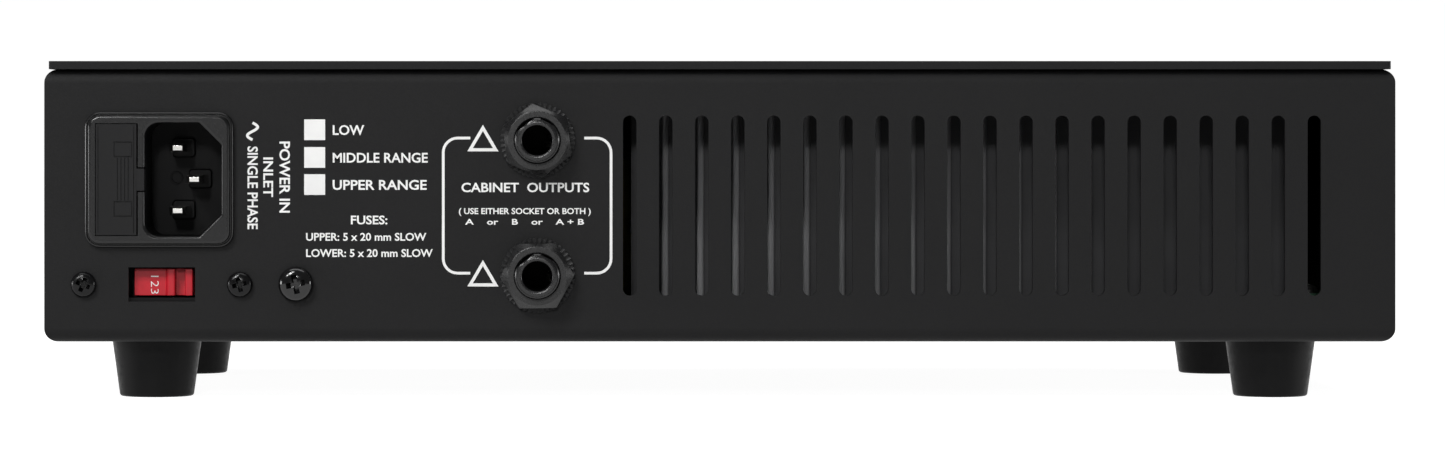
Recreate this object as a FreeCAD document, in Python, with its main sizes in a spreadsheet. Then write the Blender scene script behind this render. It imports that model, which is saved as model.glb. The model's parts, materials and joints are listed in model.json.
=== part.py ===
import FreeCAD, Part
import math
import os
import re

import Sketcher

# Guitar amplifier head in a low folded-steel case.  Millimetres, +Z up.
# The controls face -Y, the rear panel faces +Y, and the feet stand on z = 0.
# The origin is under the middle of the whole object, knobs and jack noses included.

DIMENSIONS = {
    # case
    "case_width": 300, "case_depth": 145, "case_height": 60.6, "sheet_steel": 1.5,
    "bend_radius": 3, "flange_width": 13, "front_reach": 19, "rear_reach": 8,
    # lid
    "lid_thickness": 1.8, "lid_side_inset": 1, "lid_front_inset": 1, "lid_rear_overhang": 0.6,
    "lid_corner": 0.8,
    "lid_screw_inset": 8, "lid_screw_radius": 1.45, "lid_head_radius": 2.9, "lid_screw_length": 6,
    "lid_hole_radius": 1.7, "lid_head_play": 0.1, "lid_head_drop": 0.05, "lid_recess_depth": 0.9,
    "clinch_radius": 3, "clinch_height": 2.5, "clinch_bore": 1.6,
    # feet
    "foot_height": 13, "foot_top_radius": 10.1, "foot_tip_radius": 8.3, "foot_side_inset": 24.1,
    "foot_rear_inset": 21.5, "foot_front_inset": 17.8, "foot_shift": 0.85, "foot_recess_radius": 4.6,
    "foot_recess_depth": 8, "foot_bore": 2.3, "foot_edge": 0.7, "foot_head_radius": 4,
    "foot_head_height": 2.6, "foot_screw_overhang": 6,
    # mains inlet with fuse drawer
    "inlet_x": 124.4, "inlet_rise": 36.1, "inlet_flange_width": 33, "inlet_flange_height": 30,
    "inlet_flange_depth": 2.5, "inlet_flange_corner": 3.3, "inlet_flange_edge": 0.6,
    "inlet_body_width": 30.2, "inlet_body_height": 27.4, "inlet_body_depth": 30,
    "inlet_play": 0.2, "cavity_x": 119, "cavity_width": 17,
    "cavity_height": 25.2, "cavity_depth": 17, "cavity_chamfer": 5, "cavity_corner": 3.2,
    "live_pin_x": 120.6, "live_pin_offset": 7, "earth_pin_x": 116.9, "pin_width": 4,
    "pin_thickness": 2, "pin_setback": 2.5, "pin_length": 36, "pin_hole_length": 60,
    "drawer_x": 133.75, "drawer_width": 8.9, "drawer_height": 24.4, "drawer_depth": 26,
    "drawer_gap": 0.3, "drawer_wall": 1.3, "tab_width": 2.2, "tab_height": 4.9,
    "tab_depth": 3, "tab_clearance": 0.3, "tab_overlap": 0.5,
    "fuse_radius": 2.6, "fuse_length": 20, "fuse_cap_length": 5, "fuse_glass_radius": 2.3,
    "fuse_first": 8, "fuse_pitch": 10, "fuse_pocket": 6.4, "fuse_end_play": 0.6,
    # mains voltage selector
    "selector_x": 123.9, "selector_rise": 12.8, "selector_width": 14.8, "selector_height": 7.6,
    "selector_screw_pitch": 34.7, "selector_plate_width": 43, "selector_plate_height": 12,
    "selector_plate_depth": 1.2, "selector_body_width": 28, "selector_body_depth": 10,
    "selector_channel_width": 26, "selector_channel_height": 6.9, "slider_right": 112,
    "slider_width": 18.2, "slider_height": 6, "slider_depth": 6, "slider_gap": 0.4,
    "slider_lift": 0.45, "slider_face_drop": 1, "slider_face_width": 7.2, "slider_slope": 0.4,
    "slider_groove": 2.2, "slider_groove_left": 9.15, "slider_right_face": 5,
    # small screws
    "panel_screw_radius": 1.5, "panel_screw_head": 2.85, "panel_screw_head_height": 2,
    "panel_screw_length": 8, "panel_screw_hole": 1.7, "panel_nut_width": 5.5,
    "panel_nut_height": 2.4, "recess_length": 3, "recess_width": 0.8,
    "m4_radius": 2, "m4_nut_width": 7, "m4_nut_height": 3.2, "nut_play": 0.05,
    "earth_x": 94.1, "earth_rise": 12.9, "earth_screw_head": 3.9,
    "earth_screw_head_height": 2.9, "earth_screw_length": 12, "earth_screw_hole": 2.2,
    "earth_ring_radius": 4.5, "earth_ring_thickness": 0.8, "earth_tail_length": 12,
    "earth_tail_width": 4, "earth_tail_root": 3.5,
    # quarter-inch jacks
    "output_x": 40.5, "output_low_rise": 14.8, "output_high_rise": 44.8, "jack_nose_radius": 4.9,
    "jack_nose_root": 1, "jack_hole_radius": 5.1, "jack_bore": 3.3, "jack_body_size": 16,
    "jack_body_depth": 24, "jack_back_wall": 2, "jack_nut_width": 14.4, "jack_nut_height": 3.4,
    "jack_washer_radius": 8.6, "jack_washer_height": 1, "jack_washer_bore": 5,
    "contact_length": 16, "contact_width": 3,
    "contact_thickness": 0.4, "contact_slot": 3.6, "contact_clearance": 0.25,
    "contact_slot_overlap": 0.6, "contact_end_play": 0.5,
    "input_x": -131, "input_rise": 30.3, "input_reach": 6,
    # ventilation
    "slot_count": 20, "slot_pitch": 8, "slot_width": 3, "slot_length": 40, "slot_first_x": 20,
    "slot_rise": 30.3,
    # fascia and controls
    "fascia_thickness": 2, "fascia_side_inset": 3, "fascia_rise": 3.3, "fascia_height": 54,
    "fascia_corner": 2, "control_rise": 30.3, "control_first_x": -98, "control_pitch": 28,
    "pot_radius": 8, "pot_depth": 8.5, "bushing_radius": 3.5, "bushing_reach": 4,
    "bushing_hole": 3.7, "shaft_radius": 3, "shaft_bore": 3.05, "shaft_length": 22.6,
    "shaft_start": 3, "shaft_end_play": 0.4, "pot_nut_width": 10, "pot_nut_height": 2, "knob_gap": 0.8,
    "knob_height": 16.2, "knob_skirt_radius": 11, "knob_skirt_height": 2.4, "knob_waist_radius": 8.6,
    "knob_waist_height": 4, "knob_top_radius": 7.8, "knob_recess_radius": 7.4,
    "knob_recess_depth": 5.5, "knob_bore": 3.02, "knob_bore_end": 13, "knob_pointer_width": 1.2,
    "knob_pointer_depth": 0.6, "control_board_x": -56, "control_board_width": 120,
    "control_board_height": 44, "control_board_rise": 8, "board_thickness": 1.6,
    "control_board_gap": 0.4,
    # power switch and pilot lamp
    "switch_x": 127, "switch_rise": 30.3, "switch_body_width": 15, "switch_body_height": 24,
    "switch_body_depth": 20, "switch_bushing_radius": 5.8, "switch_bushing_reach": 7,
    "switch_hole": 6, "switch_bore": 4.3, "switch_bore_depth": 9, "switch_root": 1,
    "switch_nut_width": 15, "switch_nut_height": 2.2, "lever_ball": 3, "lever_neck": 1.5,
    "lever_tip": 2.5, "lever_length": 15.5, "lever_tilt": 12, "lever_foot": 4,
    "lever_pin_radius": 0.7, "lever_pin_length": 8.2,
    "pilot_x": 101, "pilot_rise": 30.3, "pilot_rim_radius": 6.5, "pilot_rim_height": 2.2,
    "pilot_shank_radius": 4.8, "pilot_hole": 5, "pilot_shank_length": 16, "pilot_bore": 3.9,
    "pilot_lens_radius": 3.8, "pilot_lens_reach": 4.2, "pilot_lens_length": 8,
    # transformer
    "core_x": 62, "core_y": 2, "core_radius": 48, "core_hole": 15, "core_height": 39,
    "core_corner": 9, "core_pad_radius": 44, "core_top_pad_radius": 40,
    "core_pad_thickness": 2, "dish_radius": 38, "dish_thickness": 1.6,
    "core_bolt_radius": 3, "core_bolt_hole": 3.3, "core_head_width": 10, "core_head_height": 4,
    "core_nut_height": 5,
    # main board and what stands on it
    "main_board_x": -68.5, "main_board_y": -9, "main_board_width": 149, "main_board_depth": 78,
    "standoff_height": 6, "standoff_width": 5.5, "standoff_x_pitch": 69, "standoff_y_pitch": 68,
    "standoff_bore": 1.55, "board_screw_radius": 1.5, "board_screw_head": 2.8,
    "board_screw_head_height": 1.9, "board_screw_length": 6, "board_hole": 1.7,
    "capacitor_radius": 12.5, "capacitor_height": 38, "capacitor_x": -14, "capacitor_y": -26,
    "capacitor_pitch": 29, "capacitor_edge": 1.2, "rectifier_x": -52, "rectifier_y": -22,
    "rectifier_length": 25, "rectifier_width": 7, "rectifier_height": 22, "relay_x": -84,
    "relay_y": -26, "relay_length": 29, "relay_width": 13, "relay_height": 16,
    # heat sink
    "sink_setback": 24, "sink_base_thickness": 5, "sink_height": 48, "sink_left_x": 19.5,
    "sink_width": 150, "sink_rise": 6, "spacer_count": 3, "spacer_width": 12,
    "spacer_first_x": -100, "spacer_pitch": 46,
    "fin_count": 18, "fin_thickness": 2, "fin_length": 10, "fin_first_x": 15.5, "fin_pitch": 8,
    "fin_clearance": 1,
    "transistor_count": 4, "transistor_width": 15.6, "transistor_height": 20,
    "transistor_thickness": 4.8, "transistor_first_x": -112, "transistor_pitch": 38,
    "transistor_rise": 18,
    # wiring
    "mains_loom_radius": 2.5, "secondary_loom_radius": 2.2, "ribbon_x": -32, "ribbon_width": 20,
    "ribbon_thickness": 1.2, "ribbon_rise": 25, "ribbon_reach": 11, "ribbon_bend": 3,
    # clearance past a face that a cutting tool runs through
    "overrun": 1,
}

doc = FreeCAD.newDocument("GuitarAmpHead")
sheet = doc.addObject("Spreadsheet::Sheet", "Sizes")
for row, (alias, size) in enumerate(DIMENSIONS.items(), 1):
    sheet.set(f"A{row}", alias)
    sheet.set(f"B{row}", str(size))
    sheet.setAlias(f"B{row}", alias)
doc.recompute()

# Places worked out from the driving dimensions, as expression text.
REAR = "(case_depth + front_reach - rear_reach) / 2"
FRONT = "-(case_depth - front_reach + rear_reach) / 2"
CASE_Y = f"({REAR} + {FRONT}) / 2"
FLOOR = "foot_height"
FLOOR_TOP = "(foot_height + sheet_steel)"
TOP = "(foot_height + case_height)"
REAR_INNER = f"({REAR} - sheet_steel)"
FRONT_INNER = f"({FRONT} + sheet_steel)"
FASCIA_FACE = f"({FRONT} - fascia_thickness)"
BOARD_TOP = "(foot_height + sheet_steel + standoff_height + board_thickness)"

NODES = []
WORD = re.compile(r"[a-z][a-z0-9_]*")
UP = FreeCAD.Vector(0, 0, 1)
FACINGS = {"up": 0, "down": 180, "rear": -90, "front": 90}
# Half outlines as shares of (radius, height): a domed screw head, and a toggle lever whose
# ball is on its own centre and whose bat runs out from there.
HEAD_DOME = ((1, 0), (1, 0.45), (0.82, 0.85), (0.4, 1), (0, 1))
LEVER_BALL = ((0.85, -0.5), (1, 0), (0.85, 0.5))
LEVER_BALL_END = 0.85
LEVER_WAIST = 0.45
LEVER_SHOULDER = 0.85
LEVER_CROWN = (0.7, 0.98)
PILOT_RIM = ((1, 0), (1, 0.5), (0.8, 1))
PILOT_DOME = ((1, 0.6), (0.6, 0.93), (0, 1))
RECESS_SHARES = {"length": 1.15, "width": 0.3, "depth": 0.6}
# An arc of a wire's route takes this share of the shorter run beside it.
BEND_SHARE = 0.45


# --- helpers --------------------------------------------------------------------------------

def sized(text):
    """Point each dimension named in an expression at its cell of the sheet."""
    def cell(word):
        return "Sizes." + word.group() if word.group() in DIMENSIONS else word.group()
    return WORD.sub(cell, str(text))


def number(text):
    return float(sheet.evalExpression(sized(text)))


def bind(feature, prop, text):
    feature.setExpression(prop, sized(text))


def place(feature, at, facing="up", spin=0):
    """Stand a feature at a point, its own +Z turned up, to the rear or to the front."""
    tilt = FreeCAD.Rotation(FreeCAD.Vector(1, 0, 0), FACINGS[facing])
    turn = FreeCAD.Rotation(UP, spin)
    feature.Placement = FreeCAD.Placement(FreeCAD.Vector(), tilt.multiply(turn))
    for letter, text in zip("xyz", at):
        bind(feature, ".Placement.Base." + letter, text)


def node(feature, name):
    feature.Label = name
    NODES.append(feature)
    return feature


def new_body(name, at=("0", "0", "0"), facing="up", spin=0):
    body = doc.addObject("PartDesign::Body", name)
    place(body, at, facing, spin)
    return body


def new_sketch(body, plane="XY_Plane", height="0"):
    sketch = body.newObject("Sketcher::SketchObject", body.Name + "_sketch")
    flat = next(item for item in body.Origin.OriginFeatures if item.Role == plane)
    sketch.AttachmentSupport = (flat, [""])
    sketch.MapMode = "FlatFace"
    bind(sketch, ".AttachmentOffset.Base.z", height)
    return sketch


def pin_point(sketch, geometry, point, x, y):
    """Hold one point of a sketch at its two distances from the sketch's origin."""
    for kind, text, axis in (("DistanceX", x, -2), ("DistanceY", y, -1)):
        if abs(number(text)) < 1e-9:
            sketch.addConstraint(Sketcher.Constraint("PointOnObject", geometry, point, axis))
            continue
        index = sketch.addConstraint(
            Sketcher.Constraint(kind, -1, 1, geometry, point, number(text)))
        bind(sketch, f"Constraints[{index}]", text)


def draw_outline(sketch, points):
    """A closed outline of straight lines through (x, y) points."""
    first = sketch.GeometryCount
    spots = [FreeCAD.Vector(number(x), number(y), 0) for x, y in points]
    count = len(spots)
    for index in range(count):
        sketch.addGeometry(Part.LineSegment(spots[index], spots[(index + 1) % count]))
    for index in range(count):
        following = first + (index + 1) % count
        sketch.addConstraint(Sketcher.Constraint("Coincident", first + index, 2, following, 1))
    for index, (x, y) in enumerate(points):
        pin_point(sketch, first + index, 1, x, y)


def draw_rectangle(sketch, x, y, width, height):
    left, right = f"({x}) - ({width}) / 2", f"({x}) + ({width}) / 2"
    low, high = f"({y}) - ({height}) / 2", f"({y}) + ({height}) / 2"
    draw_outline(sketch, [(left, low), (right, low), (right, high), (left, high)])


def draw_circle(sketch, x, y, radius):
    index = sketch.GeometryCount
    centre = FreeCAD.Vector(number(x), number(y), 0)
    sketch.addGeometry(Part.Circle(centre, UP, number(radius)))
    pin_point(sketch, index, 3, x, y)
    size = sketch.addConstraint(Sketcher.Constraint("Radius", index, number(radius)))
    bind(sketch, f"Constraints[{size}]", radius)


def draw_hexagon(sketch, across_flats):
    radius = f"({across_flats}) / sqrt(3)"
    draw_outline(sketch, [(f"{radius} * cos({60 * k})", f"{radius} * sin({60 * k})")
                          for k in range(6)])


def draw_upright_slot(sketch, x, y, width, length):
    """A slot with round ends, its long side along the sketch's y."""
    left, right = number(f"{x} - {width} / 2"), number(f"{x} + {width} / 2")
    low = number(f"{y} - ({length} - {width}) / 2")
    high = number(f"{y} + ({length} - {width}) / 2")
    middle, radius = number(x), number(f"{width} / 2")
    corner = FreeCAD.Vector
    sketch.addGeometry(Part.LineSegment(corner(right, low, 0), corner(right, high, 0)))
    sketch.addGeometry(Part.LineSegment(corner(left, high, 0), corner(left, low, 0)))
    over = Part.Arc(corner(right, high, 0), corner(middle, high + radius, 0), corner(left, high, 0))
    under = Part.Arc(corner(left, low, 0), corner(middle, low - radius, 0), corner(right, low, 0))
    sketch.addGeometry(over)
    sketch.addGeometry(under)
    for line, line_end, arc, arc_end in ((0, 2, 2, 1), (1, 1, 2, 2), (1, 2, 3, 1), (0, 1, 3, 2)):
        sketch.addConstraint(Sketcher.Constraint("Tangent", line, line_end, arc, arc_end))
    sketch.addConstraint(Sketcher.Constraint("Vertical", 0))
    pin_point(sketch, 2, 3, x, f"{y} + ({length} - {width}) / 2")
    reach = sketch.addConstraint(
        Sketcher.Constraint("DistanceY", 3, 3, 2, 3, number(f"{length} - {width}")))
    bind(sketch, f"Constraints[{reach}]", f"{length} - {width}")
    size = sketch.addConstraint(Sketcher.Constraint("Radius", 2, radius))
    bind(sketch, f"Constraints[{size}]", f"{width} / 2")


def pad(body, sketch, length, backwards=False):
    feature = body.newObject("PartDesign::Pad", body.Name + "_pad")
    feature.Profile = sketch
    feature.Reversed = backwards
    bind(feature, "Length", length)
    return feature


def pocket(body, sketch, depth, backwards=False):
    feature = body.newObject("PartDesign::Pocket", body.Name + "_pocket")
    feature.Profile = sketch
    feature.Reversed = backwards
    bind(feature, "Length", depth)
    return feature


def round_edges(body, radius, wanted):
    """Fillet the edges of the body so far that the test picks out."""
    doc.recompute()
    base = body.Tip
    names = [f"Edge{index}" for index, edge in enumerate(base.Shape.Edges, 1) if wanted(edge)]
    feature = body.newObject("PartDesign::Fillet", body.Name + "_round")
    feature.Base = (base, names)
    bind(feature, "Radius", radius)
    doc.recompute()
    return feature


def runs_along(edge, letter):
    """Whether a straight edge lies along one axis."""
    box = edge.BoundBox
    spans = {"x": box.XLength, "y": box.YLength, "z": box.ZLength}
    others = sum(span for axis, span in spans.items() if axis != letter)
    return spans[letter] > 0.1 and others < 1e-4


def turned(name, outline, at=("0", "0", "0"), facing="up", spin=0):
    """A piece turned about its own Z from a half outline of (radius, height) points."""
    body = new_body(name, at, facing, spin)
    sketch = new_sketch(body, "XZ_Plane")
    draw_outline(sketch, outline)
    feature = body.newObject("PartDesign::Revolution", name + "_turn")
    feature.Profile = sketch
    feature.ReferenceAxis = (sketch, ["V_Axis"])
    feature.Angle = 360
    return body


def disc(name, radius, height, bore="0", at=("0", "0", "0"), facing="up"):
    return turned(name, [(bore, "0"), (radius, "0"), (radius, height), (bore, height)], at, facing)


def hex_nut(name, across_flats, height, bore, at, facing="up", spin=0):
    body = new_body(name, at, facing, spin)
    sketch = new_sketch(body)
    draw_hexagon(sketch, across_flats)
    draw_circle(sketch, "0", "0", bore)
    pad(body, sketch, height)
    return body


def cross_recess(body, height, size, width, depth):
    """Sink a cross-shaped driver recess into a screw head."""
    for across, along in ((size, width), (width, size)):
        sketch = new_sketch(body, height=height)
        draw_rectangle(sketch, "0", "0", across, along)
        pocket(body, sketch, depth)


def pan_screw(name, shank, length, head, head_height, at, facing, spin=0):
    """A screw whose head sits on z = 0 of its own frame, its shank going down from there."""
    outline = [("0", f"-({length})"), (shank, f"-({length})"), (shank, "0")]
    outline += [(f"{head} * {across}", f"{head_height} * {up}") for across, up in HEAD_DOME]
    body = turned(name, outline, at, facing, spin)
    cross_recess(body, head_height, f"{head} * {RECESS_SHARES['length']}",
                 f"{head} * {RECESS_SHARES['width']}",
                 f"{head_height} * {RECESS_SHARES['depth']}")
    return body


def slab(name, x, y, low, width, depth, height):
    """A plain block given by the middle of its base and its three sizes."""
    block = doc.addObject("Part::Box", name)
    bind(block, "Length", width)
    bind(block, "Width", depth)
    bind(block, "Height", height)
    place(block, (f"({x}) - ({width}) / 2", f"({y}) - ({depth}) / 2", low))
    return block


def cylinder(name, radius, height, at, facing="up"):
    rod = doc.addObject("Part::Cylinder", name)
    bind(rod, "Radius", radius)
    bind(rod, "Height", height)
    place(rod, at, facing)
    return rod


def cut(name, base, tools):
    feature = doc.addObject("Part::Cut", name)
    feature.Base = base
    if len(tools) == 1:
        feature.Tool = tools[0]
        return feature
    together = doc.addObject("Part::MultiFuse", name + "_tools")
    together.Shapes = tools
    feature.Tool = together
    return feature


def fuse(name, pieces):
    feature = doc.addObject("Part::MultiFuse", name)
    feature.Shapes = pieces
    return feature


def group(name, pieces):
    """Several separate solids of one kind in one node."""
    feature = doc.addObject("Part::Compound", name)
    feature.Links = pieces
    return node(feature, name)


def rise(text):
    return f"({FLOOR} + {text})"


# --- where repeated things stand --------------------------------------------------------------

CORNERS = {"rear_left": ("", f"{REAR} - foot_rear_inset"),
           "rear_right": ("-", f"{REAR} - foot_rear_inset"),
           "front_left": ("", f"{FRONT} + foot_front_inset"),
           "front_right": ("-", f"{FRONT} + foot_front_inset")}
CONTROLS = ["volume", "bass", "middle", "treble"]


def foot_x(side):
    return f"{side}(case_width / 2 - foot_side_inset) + foot_shift"


def control_x(index):
    return f"(control_first_x + {index} * control_pitch)"


LID_SCREW_PLACES = [(f"{column} * (case_width / 2 - lid_screw_inset)", y)
                    for column in (-1, 0, 1)
                    for y in (f"{REAR} - lid_screw_inset", f"{FRONT} + lid_screw_inset")]
STANDOFF_PLACES = [(f"main_board_x + {column} * standoff_x_pitch",
                    f"main_board_y + {row} * standoff_y_pitch / 2")
                   for column in (-1, 0, 1) for row in (-1, 1)]


# --- case -------------------------------------------------------------------------------------

def make_chassis():
    """A folded pan, open on top inside four flanges, with every panel cut-out."""
    body = new_body("chassis_shell")
    outside = new_sketch(body, height=FLOOR)
    draw_rectangle(outside, "0", CASE_Y, "case_width", "case_depth")
    pad(body, outside, "case_height")
    round_edges(body, "bend_radius", lambda edge: not runs_along(edge, "z"))

    hollow = new_sketch(body, height=f"{TOP} - sheet_steel")
    draw_rectangle(hollow, "0", CASE_Y, "case_width - 2 * sheet_steel",
                   "case_depth - 2 * sheet_steel")
    pocket(body, hollow, "case_height - 2 * sheet_steel")
    half_width = number("case_width / 2 - sheet_steel")
    walls = [number(REAR_INNER), number(FRONT_INNER)]

    def is_inner_bend(edge):
        box = edge.BoundBox
        on_side = abs(abs(box.Center.x) - half_width) < 0.01 and runs_along(edge, "y")
        on_end = min(abs(box.Center.y - y) for y in walls) < 0.01 and runs_along(edge, "x")
        return on_side or on_end

    round_edges(body, "bend_radius - sheet_steel", is_inner_bend)

    opening = new_sketch(body, height=f"{TOP} + overrun")
    draw_rectangle(opening, "0", CASE_Y, "case_width - 2 * flange_width",
                   "case_depth - 2 * flange_width")
    for x, y in LID_SCREW_PLACES:
        draw_circle(opening, x, y, "clinch_bore")
    pocket(body, opening, "2 * overrun + sheet_steel")

    floor = new_sketch(body, height=f"{FLOOR} - overrun")
    for side, y in CORNERS.values():
        draw_circle(floor, foot_x(side), y, "foot_bore")
    draw_circle(floor, "core_x", "core_y", "core_bolt_hole")
    pocket(body, floor, "2 * overrun + sheet_steel", backwards=True)

    rear = new_sketch(body, "XZ_Plane", f"-({REAR} + overrun)")
    draw_rectangle(rear, "inlet_x", rise("inlet_rise"), "inlet_body_width + 2 * inlet_play",
                   "inlet_body_height + 2 * inlet_play")
    draw_rectangle(rear, "selector_x", rise("selector_rise"), "selector_width", "selector_height")
    for side in (-1, 1):
        draw_circle(rear, f"selector_x + {side} * selector_screw_pitch / 2",
                    rise("selector_rise"), "panel_screw_hole")
    draw_circle(rear, "earth_x", rise("earth_rise"), "earth_screw_hole")
    for level in ("output_low_rise", "output_high_rise"):
        draw_circle(rear, "output_x", rise(level), "jack_hole_radius")
    pocket(body, rear, "2 * overrun + sheet_steel", backwards=True)

    front = new_sketch(body, "XZ_Plane", f"-({FRONT} - overrun)")
    draw_front_holes(front)
    pocket(body, front, "2 * overrun + sheet_steel")

    slot = new_sketch(body, "XZ_Plane", f"-({REAR} + overrun)")
    draw_upright_slot(slot, "slot_first_x", rise("slot_rise"), "slot_width", "slot_length")
    first_slot = pocket(body, slot, "2 * overrun + sheet_steel", backwards=True)
    row = body.newObject("PartDesign::LinearPattern", "slot_row")
    row.Originals = [first_slot]
    x_axis = next(item for item in body.Origin.OriginFeatures if item.Role == "X_Axis")
    row.Direction = (x_axis, [""])
    row.Reversed = True
    bind(row, "Occurrences", "slot_count")
    bind(row, "Length", "slot_pitch * (slot_count - 1)")
    body.Tip = row
    node(body, "chassis_shell")


def draw_front_holes(sketch):
    """The holes that the front wall and the fascia share."""
    draw_circle(sketch, "input_x", rise("input_rise"), "jack_hole_radius")
    for index in range(len(CONTROLS)):
        draw_circle(sketch, control_x(index), rise("control_rise"), "bushing_hole")
    draw_circle(sketch, "pilot_x", rise("pilot_rise"), "pilot_hole")
    draw_circle(sketch, "switch_x", rise("switch_rise"), "switch_hole")


def make_lid():
    body = new_body("lid_blank")
    sketch = new_sketch(body, height=TOP)
    draw_rectangle(sketch, "0", f"({CASE_Y}) + (lid_rear_overhang + lid_front_inset) / 2",
                   "case_width - 2 * lid_side_inset",
                   "case_depth - lid_front_inset + lid_rear_overhang")
    pad(body, sketch, "lid_thickness")
    round_edges(body, "lid_corner", lambda edge: runs_along(edge, "z"))
    sinks = []
    for index, (x, y) in enumerate(LID_SCREW_PLACES):
        sink = doc.addObject("Part::Cone", f"lid_sink_{index}")
        bind(sink, "Radius1", "lid_hole_radius")
        bind(sink, "Radius2", "lid_head_radius + lid_head_play")
        bind(sink, "Height", "lid_thickness")
        place(sink, (x, y, TOP))
        sinks.append(sink)
    node(cut("lid_with_sinks", body, sinks), "lid_plate")

    screws, clinches = [], []
    for index, (x, y) in enumerate(LID_SCREW_PLACES):
        screw = turned(f"lid_screw_{index}", [
            ("0", "-lid_screw_length"), ("lid_screw_radius", "-lid_screw_length"),
            ("lid_screw_radius", "-lid_thickness"), ("lid_head_radius", "-lid_head_drop"),
            ("0", "-lid_head_drop")],
            (x, y, f"{TOP} + lid_thickness"))
        cross_recess(screw, "-lid_head_drop", "recess_length", "recess_width",
                     "lid_recess_depth")
        screws.append(screw)
        clinches.append(disc(f"clinch_{index}", "clinch_radius", "clinch_height", "clinch_bore",
                             (x, y, f"{TOP} - sheet_steel - clinch_height")))
    group("lid_screws", screws)
    group("lid_clinch_nuts", clinches)


def make_feet():
    """Tapered rubber feet, each held by a screw from below and a nut inside."""
    screws, nuts = [], []
    for corner, (side, y) in CORNERS.items():
        x = foot_x(side)
        foot = turned(f"foot_{corner}", [
            ("foot_recess_radius", "0"), ("foot_tip_radius", "0"),
            ("foot_top_radius", "foot_height"), ("foot_bore", "foot_height"),
            ("foot_bore", "foot_recess_depth"), ("foot_recess_radius", "foot_recess_depth")],
            (x, y, "0"))
        round_edges(foot, "foot_edge", lambda edge: edge.BoundBox.ZMax < 0.01
                    and edge.BoundBox.XLength > 2 * number("foot_tip_radius") - 0.1)
        node(foot, f"foot_{corner}")
        screws.append(pan_screw(f"foot_screw_{corner}", "m4_radius",
                                "foot_height - foot_recess_depth + foot_screw_overhang",
                                "foot_head_radius", "foot_head_height",
                                (x, y, "foot_recess_depth"), "down"))
        nuts.append(hex_nut(f"foot_nut_{corner}", "m4_nut_width", "m4_nut_height",
                            "m4_radius + nut_play", (x, y, FLOOR_TOP)))
    group("foot_screws", screws)
    return nuts


# --- rear panel -------------------------------------------------------------------------------

def make_inlet():
    """Mains inlet: a flanged housing with a connector cavity and a slot for the fuse drawer."""
    body = new_body("inlet_moulding")
    centre = rise("inlet_rise")
    flange = new_sketch(body, "XZ_Plane", f"-({REAR})")
    draw_rectangle(flange, "inlet_x", centre, "inlet_flange_width", "inlet_flange_height")
    pad(body, flange, "inlet_flange_depth", backwards=True)
    round_edges(body, "inlet_flange_corner", lambda edge: runs_along(edge, "y"))
    round_edges(body, "inlet_flange_edge", lambda edge: edge.BoundBox.YMin
                > number(f"{REAR} + inlet_flange_depth - 0.01"))
    barrel = new_sketch(body, "XZ_Plane", f"-({REAR})")
    draw_rectangle(barrel, "inlet_x", centre, "inlet_body_width", "inlet_body_height")
    pad(body, barrel, "inlet_body_depth")

    face = f"-({REAR} + inlet_flange_depth)"
    right, left = "cavity_x - cavity_width / 2", "cavity_x + cavity_width / 2"
    low, high = f"{centre} - cavity_height / 2", f"{centre} + cavity_height / 2"
    cavity = new_sketch(body, "XZ_Plane", face)
    draw_outline(cavity, [
        (f"{right} + cavity_chamfer", low), (left, low), (left, high),
        (f"{right} + cavity_chamfer", high), (right, f"{high} - cavity_chamfer"),
        (right, f"{low} + cavity_chamfer")])
    pocket(body, cavity, "cavity_depth", backwards=True)
    corner_x = number(left)
    round_edges(body, "cavity_corner", lambda edge: runs_along(edge, "y")
                and abs(edge.BoundBox.Center.x - corner_x) < 0.01
                and abs(edge.BoundBox.YLength - number("cavity_depth")) < 0.01)

    slot = new_sketch(body, "XZ_Plane", face)
    draw_rectangle(slot, "drawer_x", centre, "drawer_width + 2 * drawer_gap",
                   "drawer_height + 2 * drawer_gap")
    pocket(body, slot, "drawer_depth + drawer_gap", backwards=True)
    notch = new_sketch(body, "XZ_Plane", face)
    draw_rectangle(notch, "drawer_x - drawer_width / 2 - tab_width / 2", centre,
                   "tab_width + 2 * tab_overlap", "tab_height + 2 * tab_clearance")
    pocket(body, notch, "tab_depth + tab_clearance", backwards=True)

    pins = []
    for name, x, z in (("live", "live_pin_x", f"{centre} + live_pin_offset"),
                       ("neutral", "live_pin_x", f"{centre} - live_pin_offset"),
                       ("earth", "earth_pin_x", centre)):
        blade = slab(f"{name}_blade", x, f"{REAR} - pin_setback - pin_length / 2",
                     f"{z} - pin_thickness / 2", "pin_width", "pin_length", "pin_thickness")
        pins.append(blade)
    holes = [slab(f"pin_hole_{index}", x, f"{REAR} - inlet_body_depth", f"{z} - pin_thickness / 2",
                  "pin_width", "pin_hole_length", "pin_thickness")
             for index, (x, z) in enumerate((("live_pin_x", f"{centre} + live_pin_offset"),
                                             ("live_pin_x", f"{centre} - live_pin_offset"),
                                             ("earth_pin_x", centre)))]
    node(cut("inlet_with_pin_holes", body, holes), "inlet_housing")
    group("inlet_pins", pins)


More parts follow.
